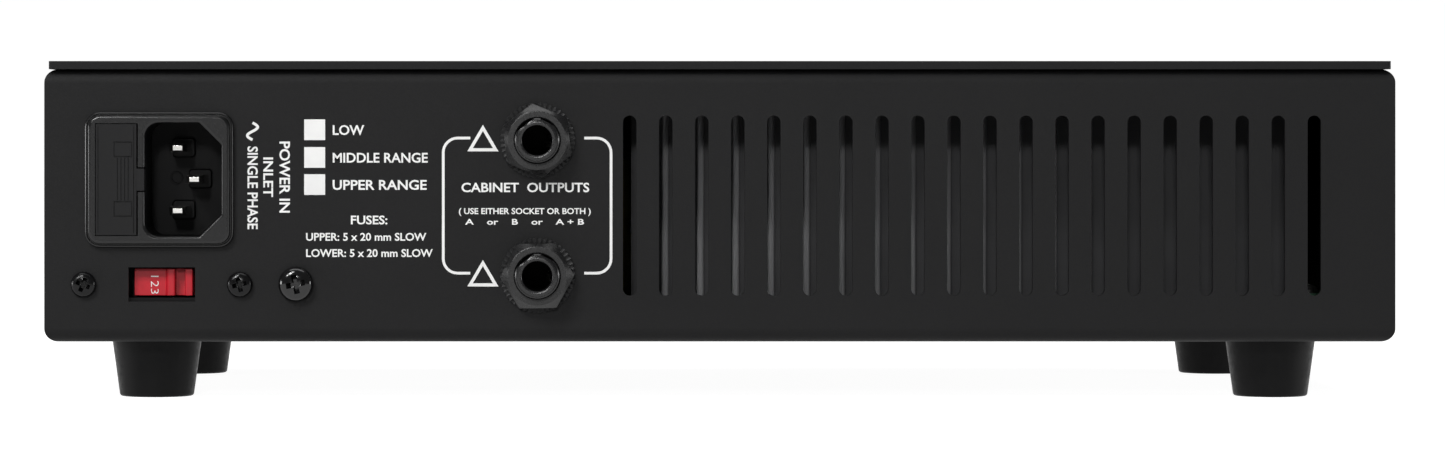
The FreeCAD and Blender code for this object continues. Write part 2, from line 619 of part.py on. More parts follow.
def make_fuse_drawer():
    """The drawer that slides out of the inlet with the fuse in use and a spare."""
    centre = rise("inlet_rise")
    face = f"({REAR} + inlet_flange_depth)"
    block = slab("drawer_block", "drawer_x", f"{face} - drawer_depth / 2",
                 f"{centre} - drawer_height / 2", "drawer_width", "drawer_depth", "drawer_height")
    tab = slab("drawer_tab", "drawer_x - (drawer_width + tab_width - tab_overlap) / 2",
               f"{face} - tab_depth / 2", f"{centre} - tab_height / 2", "tab_width",
               "tab_depth", "tab_height")
    solid = fuse("drawer_solid", [block, tab])
    pockets, glass, caps = [], [], []
    for index in range(2):
        y = f"{face} - fuse_first - {index} * fuse_pitch"
        pockets.append(slab(f"fuse_pocket_{index}", "drawer_x + drawer_wall + overrun / 2", y,
                            f"{centre} - fuse_length / 2 - fuse_end_play",
                            "drawer_width + overrun", "fuse_pocket",
                            "fuse_length + 2 * fuse_end_play"))
        x = "drawer_x + drawer_wall / 2"
        glass.append(cylinder(f"fuse_glass_{index}", "fuse_glass_radius",
                              "fuse_length - 2 * fuse_cap_length",
                              (x, y, f"{centre} - fuse_length / 2 + fuse_cap_length")))
        for end in (0, 1):
            caps.append(cylinder(f"fuse_cap_{index}_{end}", "fuse_radius", "fuse_cap_length",
                                 (x, y, f"{centre} - fuse_length / 2"
                                        f" + {end} * (fuse_length - fuse_cap_length)")))
    node(cut("drawer_with_pockets", solid, pockets), "fuse_drawer")
    group("fuse_glass", glass)
    group("fuse_caps", caps)


def make_selector():
    """Mains voltage selector: a slide switch set with a screwdriver behind a window."""
    centre = rise("selector_rise")
    slider_centre = f"({centre} + slider_lift)"
    plate = slab("selector_plate", "selector_x", f"{REAR_INNER} - selector_plate_depth / 2",
                 f"{centre} - selector_plate_height / 2", "selector_plate_width",
                 "selector_plate_depth", "selector_plate_height")
    box = slab("selector_box", "selector_x", f"{REAR_INNER} - selector_body_depth / 2",
               f"{centre} - selector_plate_height / 2", "selector_body_width",
               "selector_body_depth", "selector_plate_height")
    channel = slab("selector_channel", "selector_x",
                   f"{REAR_INNER} - (slider_depth + 2 * slider_gap) / 2",
                   f"{slider_centre} - selector_channel_height / 2", "selector_channel_width",
                   "slider_depth + 2 * slider_gap", "selector_channel_height")
    holes = [channel]
    screws, nuts = [], []
    for index, side in enumerate((-1, 1)):
        x = f"selector_x + {side} * selector_screw_pitch / 2"
        holes.append(cylinder(f"selector_hole_{index}", "panel_screw_hole",
                              "selector_plate_depth + 2 * overrun",
                              (x, f"{REAR_INNER} - selector_plate_depth - overrun", centre),
                              "rear"))
        screws.append(pan_screw(f"selector_screw_{index}", "panel_screw_radius",
                                "panel_screw_length", "panel_screw_head",
                                "panel_screw_head_height", (x, REAR, centre), "rear",
                                spin=(10, 22)[index]))
        nuts.append(hex_nut(f"selector_nut_{index}", "panel_nut_width", "panel_nut_height",
                            "panel_screw_radius + nut_play",
                            (x, f"{REAR_INNER} - selector_plate_depth", centre), "front"))
    node(cut("selector_with_channel", fuse("selector_solid", [plate, box]), holes),
         "selector_housing")
    group("selector_screws", screws)
    group("selector_nuts", nuts)

    # The slider's top edge, seen from above: a low face, two ridges with a groove, a low face.
    body = new_body("selector_slider")
    top = f"({REAR_INNER} - slider_gap)"
    low_face = f"({top} - slider_face_drop)"
    back = f"({top} - slider_depth)"
    groove_floor = f"({top} - 2 * slider_face_drop)"
    left = "(slider_right + slider_width)"
    ridge = f"({left} - slider_face_width)"
    groove = f"({left} - slider_groove_left)"
    sketch = new_sketch(body, "XY_Plane", f"{slider_centre} - slider_height / 2")
    draw_outline(sketch, [
        ("slider_right", back), (left, back), (left, low_face), (ridge, low_face),
        (f"{ridge} - slider_slope", top), (groove, top), (groove, groove_floor),
        (f"{groove} - slider_groove", groove_floor), (f"{groove} - slider_groove", top),
        ("(slider_right + slider_right_face)", top),
        ("(slider_right + slider_right_face)", low_face), ("slider_right", low_face)])
    pad(body, sketch, "slider_height")
    node(body, "selector_slider")


def make_earth_point():
    z = rise("earth_rise")
    screw = pan_screw("earth_screw_turn", "m4_radius", "earth_screw_length",
                      "earth_screw_head", "earth_screw_head_height", ("earth_x", REAR, z), "rear",
                      spin=-12)
    node(screw, "earth_screw")
    eye = disc("earth_eye", "earth_ring_radius", "earth_ring_thickness",
               "m4_radius + nut_play", ("earth_x", REAR_INNER, z), "front")
    tail = slab("earth_tail", "earth_x", f"{REAR_INNER} - earth_ring_thickness / 2",
                f"{z} + earth_tail_root", "earth_tail_width", "earth_ring_thickness",
                "earth_tail_length")
    node(fuse("earth_ring_solid", [eye, tail]), "earth_ring")
    return hex_nut("earth_nut", "m4_nut_width", "m4_nut_height", "m4_radius + nut_play",
                   ("earth_x", f"{REAR_INNER} - earth_ring_thickness", z), "front")


def make_jack(name, x, wall_inner, z, facing, reach):
    """A quarter-inch jack: a square body inside the wall and a threaded nose through it."""
    inward = "-" if facing == "rear" else "+"
    body = slab(f"{name}_body", x, f"{wall_inner} {inward} jack_body_depth / 2",
                f"{z} - jack_body_size / 2", "jack_body_size", "jack_body_depth",
                "jack_body_size")
    nose = cylinder(f"{name}_nose", "jack_nose_radius", f"{reach} + jack_nose_root",
                    (x, f"{wall_inner} {inward} jack_nose_root", z), facing)
    bore = cylinder(f"{name}_bore", "jack_bore", f"jack_body_depth - jack_back_wall + {reach}",
                    (x, f"{wall_inner} {inward} (jack_body_depth - jack_back_wall)", z), facing)
    gap = "(contact_thickness + 2 * contact_clearance)"
    middle = f"{wall_inner} {inward} (jack_body_depth - jack_back_wall - contact_length / 2)"
    slot = slab(f"{name}_slot", f"{x} - jack_bore", middle, f"{z} - contact_slot / 2",
                f"2 * {gap} + contact_slot_overlap", "contact_length + contact_end_play",
                "contact_slot")
    node(cut(f"{name}_cut", fuse(f"{name}_solid", [body, nose]), [bore, slot]), name)
    return slab(f"{name}_contact", f"{x} - jack_bore - {gap} / 2", middle,
                f"{z} - contact_width / 2", "contact_thickness", "contact_length",
                "contact_width")


def make_jacks():
    contacts, nuts, washers = [], [], []
    reach = "(sheet_steel + rear_reach)"
    for level, spin in (("low", 1), ("high", 38)):
        z = rise(f"output_{level}_rise")
        contacts.append(make_jack(f"output_jack_{level}", "output_x", REAR_INNER, z, "rear", reach))
        washers.append(disc(f"jack_washer_{level}", "jack_washer_radius", "jack_washer_height",
                            "jack_washer_bore", ("output_x", REAR, z), "rear"))
        nuts.append(hex_nut(f"jack_nut_{level}", "jack_nut_width", "jack_nut_height",
                            "jack_nose_radius + nut_play",
                            ("output_x", f"{REAR} + jack_washer_height", z), "rear", spin))
    z = rise("input_rise")
    contacts.append(make_jack("input_jack", "input_x", FRONT_INNER, z, "front",
                              "(sheet_steel + fascia_thickness + input_reach)"))
    washers.append(disc("jack_washer_input", "jack_washer_radius", "jack_washer_height",
                        "jack_washer_bore", ("input_x", FASCIA_FACE, z), "front"))
    nuts.append(hex_nut("jack_nut_input", "jack_nut_width", "jack_nut_height",
                        "jack_nose_radius + nut_play",
                        ("input_x", f"{FASCIA_FACE} - jack_washer_height", z), "front"))
    group("jack_contacts", contacts)
    group("jack_washers", washers)
    group("jack_nuts", nuts)


# --- front panel ------------------------------------------------------------------------------

def make_fascia():
    body = new_body("fascia_plate")
    sketch = new_sketch(body, "XZ_Plane", f"-({FRONT})")
    draw_rectangle(sketch, "0", rise("(fascia_rise + fascia_height / 2)"),
                   "case_width - 2 * fascia_side_inset", "fascia_height")
    pad(body, sketch, "fascia_thickness")
    round_edges(body, "fascia_corner", lambda edge: runs_along(edge, "y"))
    holes = new_sketch(body, "XZ_Plane", f"-({FRONT} - fascia_thickness - overrun)")
    draw_front_holes(holes)
    pocket(body, holes, "fascia_thickness + 2 * overrun")
    node(body, "fascia_plate")


def make_controls():
    """Four rotary controls: body with bushing, nut, shaft and knob each."""
    z = rise("control_rise")
    bodies, nuts = [], []
    bushing = "(pot_depth + sheet_steel + fascia_thickness + bushing_reach)"
    for index, name in enumerate(CONTROLS):
        x = control_x(index)
        back = f"{FRONT_INNER} + pot_depth"
        bodies.append(turned(f"pot_{name}", [
            ("0", "0"), ("pot_radius", "0"), ("pot_radius", "pot_depth"),
            ("bushing_radius", "pot_depth"), ("bushing_radius", bushing),
            ("shaft_bore", bushing), ("shaft_bore", "shaft_start - shaft_end_play"),
            ("0", "shaft_start - shaft_end_play")], (x, back, z), "front"))
        nuts.append(hex_nut(f"pot_nut_{name}", "pot_nut_width", "pot_nut_height",
                            "bushing_radius + nut_play", (x, FASCIA_FACE, z), "front", 8 * index))
        shaft = cylinder(f"shaft_rod_{name}", "shaft_radius", "shaft_length",
                         (x, f"{back} - shaft_start", z), "front")
        node(shaft, f"shaft_{name}")
        make_knob(name, x, z)
    group("pot_bodies", bodies)
    group("pot_nuts", nuts)


def make_knob(name, x, z):
    knob = turned(f"knob_turn_{name}", [
        ("knob_recess_radius", "0"), ("knob_skirt_radius", "0"),
        ("knob_skirt_radius", "knob_skirt_height"), ("knob_waist_radius", "knob_waist_height"),
        ("knob_top_radius", "knob_height"), ("0", "knob_height"), ("0", "knob_bore_end"),
        ("knob_bore", "knob_bore_end"), ("knob_bore", "knob_recess_depth"),
        ("knob_recess_radius", "knob_recess_depth")],
        (x, f"{FASCIA_FACE} - knob_gap", z), "front")
    pointer = new_sketch(knob, height="knob_height")
    draw_rectangle(pointer, "0", "(knob_skirt_radius + overrun) / 2", "knob_pointer_width",
                   "knob_skirt_radius")
    pocket(knob, pointer, "knob_pointer_depth")
    node(knob, f"knob_{name}")


def make_power_switch():
    """A toggle switch: body and bushing, nut, and a lever that rocks on its ball."""
    z = rise("switch_rise")
    body = slab("switch_box", "switch_x", f"{FRONT_INNER} + switch_body_depth / 2",
                f"{z} - switch_body_height / 2", "switch_body_width", "switch_body_depth",
                "switch_body_height")
    reach = "(sheet_steel + fascia_thickness + switch_bushing_reach)"
    bushing = cylinder("switch_bushing", "switch_bushing_radius", f"{reach} + switch_root",
                       ("switch_x", f"{FRONT_INNER} + switch_root", z), "front")
    bore = cylinder("switch_bore", "switch_bore", f"switch_bore_depth + {reach}",
                    ("switch_x", f"{FRONT_INNER} + switch_bore_depth", z), "front")
    node(cut("switch_with_bore", fuse("switch_solid", [body, bushing]), [bore]),
         "switch_housing")
    node(hex_nut("switch_nut_hex", "switch_nut_width", "switch_nut_height",
                 "switch_bushing_radius + nut_play", ("switch_x", FASCIA_FACE, z), "front", 11),
         "switch_nut")
    outline = [("0", "-lever_foot"), ("lever_neck", "-lever_foot"),
               ("lever_neck", f"-lever_ball * {LEVER_BALL_END}")]
    outline += [(f"lever_ball * {across}", f"lever_ball * {up}") for across, up in LEVER_BALL]
    outline += [("lever_neck", f"lever_ball * {LEVER_BALL_END}"),
                ("lever_neck", f"lever_length * {LEVER_WAIST}"),
                ("lever_tip", f"lever_length * {LEVER_SHOULDER}"),
                (f"lever_tip * {LEVER_CROWN[0]}", f"lever_length * {LEVER_CROWN[1]}"),
                ("0", "lever_length")]
    bat = turned("lever_bat", outline, ("switch_x", FRONT, z), "front")
    bat.Placement.Rotation = FreeCAD.Rotation(
        FreeCAD.Vector(1, 0, 0), FACINGS["front"] + number("lever_tilt"))
    pivot = cylinder("lever_pivot", "lever_pin_radius", "lever_pin_length",
                     ("switch_x - lever_pin_length / 2", FRONT, z))
    pivot.Placement.Rotation = FreeCAD.Rotation(FreeCAD.Vector(0, 1, 0), 90)
    node(fuse("lever_with_pivot", [bat, pivot]), "switch_lever")


def make_pilot():
    z = rise("pilot_rise")
    shank = "-(pilot_shank_length)"
    outline = [("pilot_bore", shank), ("pilot_shank_radius", shank), ("pilot_shank_radius", "0")]
    outline += [(f"pilot_rim_radius * {across}", f"pilot_rim_height * {up}")
                for across, up in PILOT_RIM]
    outline.append(("pilot_bore", "pilot_rim_height"))
    node(turned("pilot_rim", outline, ("pilot_x", FASCIA_FACE, z), "front"), "pilot_bezel")
    outline = [("0", "pilot_lens_reach - pilot_lens_length"),
               ("pilot_lens_radius", "pilot_lens_reach - pilot_lens_length")]
    outline += [(f"pilot_lens_radius * {across}", f"pilot_lens_reach * {up}")
                for across, up in PILOT_DOME]
    node(turned("pilot_jewel", outline, ("pilot_x", FASCIA_FACE, z), "front"), "pilot_lens")


# --- inside -----------------------------------------------------------------------------------

def make_transformer():
    """A ring-core mains transformer clamped by one bolt into a nut fixed to the floor."""
    base = f"({FLOOR_TOP} + core_pad_thickness)"
    at = ("core_x", "core_y", base)
    ring = disc("core_ring", "core_radius", "core_height", "core_hole", at)
    round_edges(ring, "core_corner", lambda edge: edge.BoundBox.XLength
                > 2 * number("core_radius") - 1)
    node(ring, "transformer_toroid")
    over = f"({base} + core_height)"
    group("transformer_pads", [
        disc("core_pad_low", "core_pad_radius", "core_pad_thickness", "core_hole",
             ("core_x", "core_y", FLOOR_TOP)),
        disc("core_pad_high", "core_top_pad_radius", "core_pad_thickness", "core_hole",
             ("core_x", "core_y", over))])
    dish = f"({over} + core_pad_thickness)"
    node(disc("core_dish", "dish_radius", "dish_thickness", "core_bolt_hole",
              ("core_x", "core_y", dish)), "transformer_plate")
    bolt_length = f"({dish} + dish_thickness - {FLOOR})"
    bolt = new_body("core_bolt", ("core_x", "core_y", FLOOR))
    shank = new_sketch(bolt)
    draw_circle(shank, "0", "0", "core_bolt_radius")
    pad(bolt, shank, bolt_length)
    head = new_sketch(bolt, height=bolt_length)
    draw_hexagon(head, "core_head_width")
    pad(bolt, head, "core_head_height")
    nut = hex_nut("core_nut", "core_head_width", "core_nut_height", "core_bolt_radius + nut_play",
                  ("core_x", "core_y", FLOOR_TOP))
    group("transformer_bolt", [bolt, nut])


def make_main_board():
    """The power amplifier board on its standoffs, with the parts that stand on it."""
    board = slab("main_board_blank", "main_board_x", "main_board_y",
                 f"{BOARD_TOP} - board_thickness", "main_board_width", "main_board_depth",
                 "board_thickness")
    holes, standoffs, screws = [], [], []
    for index, (x, y) in enumerate(STANDOFF_PLACES):
        holes.append(cylinder(f"board_hole_{index}", "board_hole",
                              "board_thickness + 2 * overrun",
                              (x, y, f"{BOARD_TOP} - board_thickness - overrun")))
        standoffs.append(hex_nut(f"standoff_{index}", "standoff_width", "standoff_height",
                                 "standoff_bore", (x, y, FLOOR_TOP)))
        screws.append(pan_screw(f"board_screw_{index}", "board_screw_radius",
                                "board_screw_length", "board_screw_head",
                                "board_screw_head_height", (x, y, BOARD_TOP), "up"))
    node(cut("main_board_drilled", board, holes), "main_board")
    group("board_standoffs", standoffs)
    group("board_screws", screws)

    cans = []
    for index in range(2):
        can = disc(f"capacitor_{index}", "capacitor_radius", "capacitor_height", at=(
            "capacitor_x", f"capacitor_y + {index} * capacitor_pitch", BOARD_TOP))
        round_edges(can, "capacitor_edge", lambda edge: edge.BoundBox.ZMin
                    > number("capacitor_height") - 0.01 and edge.BoundBox.XLength > 5)
        cans.append(can)
    group("reservoir_capacitors", cans)
    node(slab("rectifier_block", "rectifier_x", "rectifier_y", BOARD_TOP, "rectifier_length",
              "rectifier_width", "rectifier_height"), "bridge_rectifier")
    node(slab("relay_block", "relay_x", "relay_y", BOARD_TOP, "relay_length", "relay_width",
              "relay_height"), "board_relay")


def make_heat_sink():
    """An extruded heat sink: a flat face behind the slots, and fins on its inner side."""
    body = new_body("heat_sink")
    sketch = new_sketch(body, height=f"{FLOOR_TOP} + sink_rise")
    face = f"({REAR} - sink_setback)"
    back = f"({face} - sink_base_thickness)"
    tip = f"({back} - fin_length)"
    right = "(sink_left_x - sink_width)"
    devices = [f"(transistor_first_x + {index} * transistor_pitch)"
               for index in range(int(number("transistor_count")))]
    room = number("transistor_width / 2 + fin_thickness / 2 + fin_clearance")
    points = [(right, face), ("sink_left_x", face), ("sink_left_x", back)]
    for index in range(int(number("fin_count"))):
        centre = f"(fin_first_x - {index} * fin_pitch)"
        if min(abs(number(f"{centre} - {device}")) for device in devices) < room:
            continue
        points += [(f"{centre} + fin_thickness / 2", back), (f"{centre} + fin_thickness / 2", tip),
                   (f"{centre} - fin_thickness / 2", tip), (f"{centre} - fin_thickness / 2", back)]
    points.append((right, back))
    draw_outline(sketch, points)
    pad(body, sketch, "sink_height")
    node(body, "heat_sink")

    group("sink_spacers", [
        slab(f"sink_spacer_{index}", f"spacer_first_x + {index} * spacer_pitch",
             f"{face} - sink_base_thickness / 2", FLOOR_TOP, "spacer_width",
             "sink_base_thickness", "sink_rise")
        for index in range(int(number("spacer_count")))])
    group("power_transistors", [
        slab(f"transistor_{index}", device, f"{back} - transistor_thickness / 2",
             rise("transistor_rise"), "transistor_width", "transistor_thickness",
             "transistor_height")
        for index, device in enumerate(devices)])


def make_control_board():
    y = f"{FRONT_INNER} + pot_depth + control_board_gap + board_thickness / 2"
    node(slab("control_board_blank", "control_board_x", y, rise("control_board_rise"),
              "control_board_width", "board_thickness", "control_board_height"), "control_board")


def loom(name, points, radius):
    """A bundle of wires along straight runs joined by tangent arcs as large as the runs allow."""
    spots = [FreeCAD.Vector(*(number(text) for text in point)) for point in points]
    edges = []
    start = spots[0]
    for before, corner, after in zip(spots, spots[1:], spots[2:]):
        back = (before - corner).normalize()
        ahead = (after - corner).normalize()
        setback = BEND_SHARE * min((before - corner).Length, (after - corner).Length)
        half_angle = back.getAngle(ahead) / 2
        bend = setback * math.tan(half_angle)
        centre = corner + (back + ahead).normalize() * (bend / math.sin(half_angle))
        middle = centre + (corner - centre).normalize() * bend
        entry, leave = corner + back * setback, corner + ahead * setback
        edges.append(Part.LineSegment(start, entry).toShape())
        edges.append(Part.Arc(entry, middle, leave).toShape())
        start = leave
    edges.append(Part.LineSegment(start, spots[-1]).toShape())
    path = Part.Wire(edges)
    profile = Part.Wire(Part.makeCircle(number(radius), spots[0], spots[1] - spots[0]))
    feature = doc.addObject("Part::Feature", name)
    feature.Shape = path.makePipeShell([profile], True, True)
    whole = math.pi * number(radius) ** 2 * path.Length
    if abs(feature.Shape.Volume / whole - 1) > 0.01:
        raise RuntimeError(name + " does not fill its route")
    node(feature, name)


def make_wiring():
    """Wires held inside the case: inlet to switch, transformer to board, board to board."""
    inlet_end = f"{REAR} - pin_setback - pin_length"
    switch_end = f"{FRONT_INNER} + switch_body_depth"
    low = rise("switch_rise")
    loom("mains_loom", [
        ("cavity_x", f"{inlet_end} - 0.3", rise("inlet_rise")),
        ("cavity_x", f"{inlet_end} - 14", rise("inlet_rise")),
        ("cavity_x + 11", f"{inlet_end} - 32", f"{low} - 3"),
        ("cavity_x + 12", f"{switch_end} + 26", f"{low} - 4"),
        ("switch_x", f"{switch_end} + 12", low),
        ("switch_x", f"{switch_end} + 0.3", low)], "mains_loom_radius")
    loom("secondary_loom", [
        ("core_x - 43", "core_y + 25", rise("24")),
        ("core_x - 52", "core_y + 28", rise("26")),
        ("core_x - 61", "core_y + 27", rise("26")),
        ("core_x - 69", "core_y + 23", rise("21")),
        ("core_x - 69", "core_y + 23", f"{BOARD_TOP} + 0.2")], "secondary_loom_radius")

    ribbon = new_body("signal_ribbon")
    sketch = new_sketch(ribbon, "YZ_Plane", "ribbon_x - ribbon_width / 2")
    start = f"({FRONT_INNER} + pot_depth + control_board_gap + board_thickness)"
    end, top = f"({start} + ribbon_reach)", rise("ribbon_rise")
    draw_outline(sketch, [
        (start, f"{top} - ribbon_thickness"), (f"{end} - ribbon_thickness",
                                               f"{top} - ribbon_thickness"),
        (f"{end} - ribbon_thickness", BOARD_TOP), (end, BOARD_TOP), (end, top), (start, top)])
    pad(ribbon, sketch, "ribbon_width")
    fold = number(end)
    round_edges(ribbon, "ribbon_bend", lambda edge: runs_along(edge, "x")
                and abs(edge.BoundBox.Center.y - fold) < 0.01
                and edge.BoundBox.Center.z > number(top) - 0.01)
    node(ribbon, "signal_ribbon")


make_chassis()
make_lid()
foot_nuts = make_feet()
make_inlet()
make_fuse_drawer()
make_selector()
earth_nut = make_earth_point()
group("m4_nuts", foot_nuts + [earth_nut])
make_jacks()
make_fascia()
make_controls()
make_power_switch()
make_pilot()
make_transformer()
make_main_board()
make_heat_sink()
make_control_board()
make_wiring()


# --- checks and files -------------------------------------------------------------------------

doc.recompute()
failed = [item.Name for item in doc.Objects if {"Invalid", "Error"} & set(item.State)]
if failed:
    raise RuntimeError("these objects did not compute: " + ", ".join(failed))
os.makedirs("parts", exist_ok=True)
for piece in NODES:
    if piece.Shape.isNull() or not piece.Shape.isValid():
        raise RuntimeError(piece.Label + " has no valid shape")
for piece in NODES:
    piece.Shape.exportStep(f"parts/{piece.Label}.step")
print(len(NODES), "nodes written")
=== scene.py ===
import json
import math

import bmesh
import bpy
from mathutils import Matrix, Vector


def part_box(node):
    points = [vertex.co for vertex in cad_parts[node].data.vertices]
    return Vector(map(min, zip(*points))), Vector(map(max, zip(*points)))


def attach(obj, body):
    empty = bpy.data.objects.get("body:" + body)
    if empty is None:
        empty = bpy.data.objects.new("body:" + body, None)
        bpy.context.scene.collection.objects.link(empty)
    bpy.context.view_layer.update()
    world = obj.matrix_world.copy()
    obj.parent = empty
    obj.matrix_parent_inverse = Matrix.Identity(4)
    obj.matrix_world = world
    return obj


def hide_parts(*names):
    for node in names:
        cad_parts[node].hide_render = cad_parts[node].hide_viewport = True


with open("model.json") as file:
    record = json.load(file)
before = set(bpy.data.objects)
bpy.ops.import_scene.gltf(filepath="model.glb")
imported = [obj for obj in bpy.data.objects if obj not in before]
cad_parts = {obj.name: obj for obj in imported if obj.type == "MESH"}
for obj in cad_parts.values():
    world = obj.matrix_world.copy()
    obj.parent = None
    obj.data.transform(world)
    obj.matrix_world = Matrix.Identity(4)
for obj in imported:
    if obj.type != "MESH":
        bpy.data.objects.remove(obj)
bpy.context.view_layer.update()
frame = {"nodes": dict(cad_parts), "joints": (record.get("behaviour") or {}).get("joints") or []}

MM = 0.001
# The height of the built-in font's capitals, as a share of its size.
CAP_SHARE = 0.729
# The thickness of the white print.
INK = 0.03
# The panels that the sockets and the switch pass through: steel alone at the rear, and steel
# with the fascia over it at the front.
REAR_WALL, FRONT_WALL = 1.5, 3.5
# The pitch of the fine threads on the sockets, the switch and the lamp.
FINE_PITCH = 0.75
# Most of a noise texture's values lie between these two.
NOISE_LOW, NOISE_HIGH = 0.3, 0.7

# --- places, all read from the frame ----------------------------------------------------------

CASE_LOW, CASE_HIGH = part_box("chassis_shell")
REAR_FACE = CASE_HIGH.y
FASCIA_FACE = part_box("fascia_plate")[0].y


def middle(node):
    low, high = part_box(node)
    return (low + high) / 2


def rear_view(x, y, z, turn=0.0):
    """A frame whose +X is right and +Y up for someone looking at the rear panel."""
    axes = Matrix(((-1, 0, 0, x), (0, 0, 1, y), (0, 1, 0, z), (0, 0, 0, 1)))
    return axes @ Matrix.Rotation(math.radians(turn), 4, "Z")


def front_view(x, y, z, turn=0.0):
    """The same for someone looking at the front panel."""
    axes = Matrix(((1, 0, 0, x), (0, 0, -1, y), (0, 1, 0, z), (0, 0, 0, 1)))
    return axes @ Matrix.Rotation(math.radians(turn), 4, "Z")


def on_rear(across, up, out=0.0):
    """Millimetres from the rear panel's left and bottom edges, seen from behind."""
    return rear_view(CASE_HIGH.x - across * MM, REAR_FACE + out * MM, CASE_LOW.z + up * MM)


# --- materials --------------------------------------------------------------------------------

def new_material(name):
    material = bpy.data.materials.new(name)
    material.use_nodes = True
    nodes = material.node_tree.nodes
    nodes.clear()
    shader = nodes.new("ShaderNodeBsdfPrincipled")
    output = nodes.new("ShaderNodeOutputMaterial")
    material.node_tree.links.new(shader.outputs["BSDF"], output.inputs["Surface"])
    return material, shader


def coordinates(material, stretch=(1, 1, 1)):
    nodes, links = material.node_tree.nodes, material.node_tree.links
    place = nodes.new("ShaderNodeTexCoord")
    mapping = nodes.new("ShaderNodeMapping")
    mapping.inputs["Scale"].default_value = stretch
    links.new(place.outputs["Object"], mapping.inputs["Vector"])
    return mapping.outputs["Vector"]


def noise(material, vector, scale, detail=2.0, roughness=0.5):
    nodes, links = material.node_tree.nodes, material.node_tree.links
    texture = nodes.new("ShaderNodeTexNoise")
    texture.inputs["Scale"].default_value = scale
    texture.inputs["Detail"].default_value = detail
    texture.inputs["Roughness"].default_value = roughness
    links.new(vector, texture.inputs["Vector"])
    return texture.outputs["Fac"]


def spread(material, value, low, high):
    """Map a noise value onto a range of plain numbers."""
    nodes, links = material.node_tree.nodes, material.node_tree.links
    remap = nodes.new("ShaderNodeMapRange")
    remap.inputs["From Min"].default_value = NOISE_LOW
    remap.inputs["From Max"].default_value = NOISE_HIGH
    remap.inputs["To Min"].default_value = low
    remap.inputs["To Max"].default_value = high
    links.new(value, remap.inputs["Value"])
    return remap.outputs["Result"]


def blend_colours(material, value, dark, light):
    nodes, links = material.node_tree.nodes, material.node_tree.links
    ramp = nodes.new("ShaderNodeValToRGB")
    ramp.color_ramp.elements[0].position = NOISE_LOW
    ramp.color_ramp.elements[1].position = NOISE_HIGH
    ramp.color_ramp.elements[0].color = (*dark, 1)
    ramp.color_ramp.elements[1].color = (*light, 1)
    links.new(value, ramp.inputs["Fac"])
    return ramp.outputs["Color"]


def surface(name, colour, roughness, metallic=0.0, grain=1500.0, relief=0.1, depth=0.1,
            variation=0.12, patches=45.0, gloss_change=0.06, stretch=(1, 1, 1), coat=0.0,
            specular=0.5):
    """A finish with fine relief, slow changes of tone and uneven gloss."""
    material, shader = new_material(name)
    links = material.node_tree.links
    vector = coordinates(material, stretch)
    fine = noise(material, vector, grain, 3.0, 0.6)
    broad = noise(material, coordinates(material), patches, 4.0, 0.55)
    dark = [channel * (1 - variation) for channel in colour]
    light = [min(1.0, channel * (1 + variation)) for channel in colour]
    links.new(blend_colours(material, broad, dark, light), shader.inputs["Base Color"])
    links.new(spread(material, fine, roughness - gloss_change, roughness + gloss_change),
              shader.inputs["Roughness"])
    bump = material.node_tree.nodes.new("ShaderNodeBump")
    bump.inputs["Strength"].default_value = relief
    bump.inputs["Distance"].default_value = depth * MM
    links.new(fine, bump.inputs["Height"])
    links.new(bump.outputs["Normal"], shader.inputs["Normal"])
    shader.inputs["Metallic"].default_value = metallic
    shader.inputs["Specular IOR Level"].default_value = specular
    shader.inputs["Coat Weight"].default_value = coat
    return material


POWDER_COAT = surface("powder_coat", (0.0066, 0.0066, 0.0069), 0.58, grain=2300, relief=0.3,
                      depth=0.1, variation=0.08, patches=30, gloss_change=0.08, specular=0.15)
LID_COAT = surface("lid_powder_coat", (0.0064, 0.0064, 0.0068), 0.58, grain=2100, relief=0.3,
                   depth=0.1, variation=0.08, patches=30, gloss_change=0.08, specular=0.15)
RUBBER = surface("foot_rubber", (0.004, 0.004, 0.0042), 0.42, grain=900, relief=0.2, depth=0.1,
                 variation=0.2, patches=120, gloss_change=0.1, specular=0.1)
INLET_PLASTIC = surface("inlet_plastic", (0.0042, 0.0042, 0.0045), 0.24, grain=3000, relief=0.12,
                        depth=0.04, variation=0.12, patches=90, gloss_change=0.04, specular=0.36)
# Painted shade: a darker, duller copy of the black moulding for faces down in hollows, standing in
# for the shade that falls there.
RECESS_SHADE_PLASTIC = surface("recess_painted_shade", (0.0035, 0.0035, 0.0038), 0.5, grain=3000, relief=0.3,
                         depth=0.06, variation=0.12, patches=90, gloss_change=0.06, specular=0.12)
DRAWER_PLASTIC = surface("drawer_plastic", (0.0062, 0.0062, 0.0066), 0.48, grain=3200, relief=0.25,
                         depth=0.08, variation=0.12, patches=90, gloss_change=0.07, specular=0.16)
JACK_PLASTIC = surface("jack_plastic", (0.007, 0.007, 0.0074), 0.28, grain=1800, relief=0.08,
                       depth=0.05, variation=0.15, patches=150, gloss_change=0.06, specular=0.4)
NUT_PLASTIC = surface("nut_plastic", (0.007, 0.007, 0.0074), 0.3, grain=1800, relief=0.1,
                      depth=0.05, variation=0.15, patches=150, gloss_change=0.07, specular=0.42)
BLACK_SCREW = surface("black_screw", (0.003, 0.003, 0.0033), 0.2, grain=1100, relief=0.35,
                      depth=0.07, variation=0.3, patches=400, gloss_change=0.1, specular=0.22)
EARTH_SCREW = surface("earth_screw_black", (0.003, 0.003, 0.0033), 0.12, grain=900, relief=0.35,
                      depth=0.05, variation=0.3, patches=500, gloss_change=0.05, coat=0.1,
                      specular=0.42)
WASHER_STEEL = surface("washer_steel", (0.006, 0.006, 0.0064), 0.42, grain=1500, relief=0.15,
                       depth=0.05, variation=0.25, patches=300, specular=0.2)
PIN_METAL = surface("pin_metal", (0.78, 0.77, 0.74), 0.2, metallic=1.0, grain=1200, relief=0.15,
                    depth=0.03, variation=0.1, patches=300, stretch=(1, 0.15, 1))
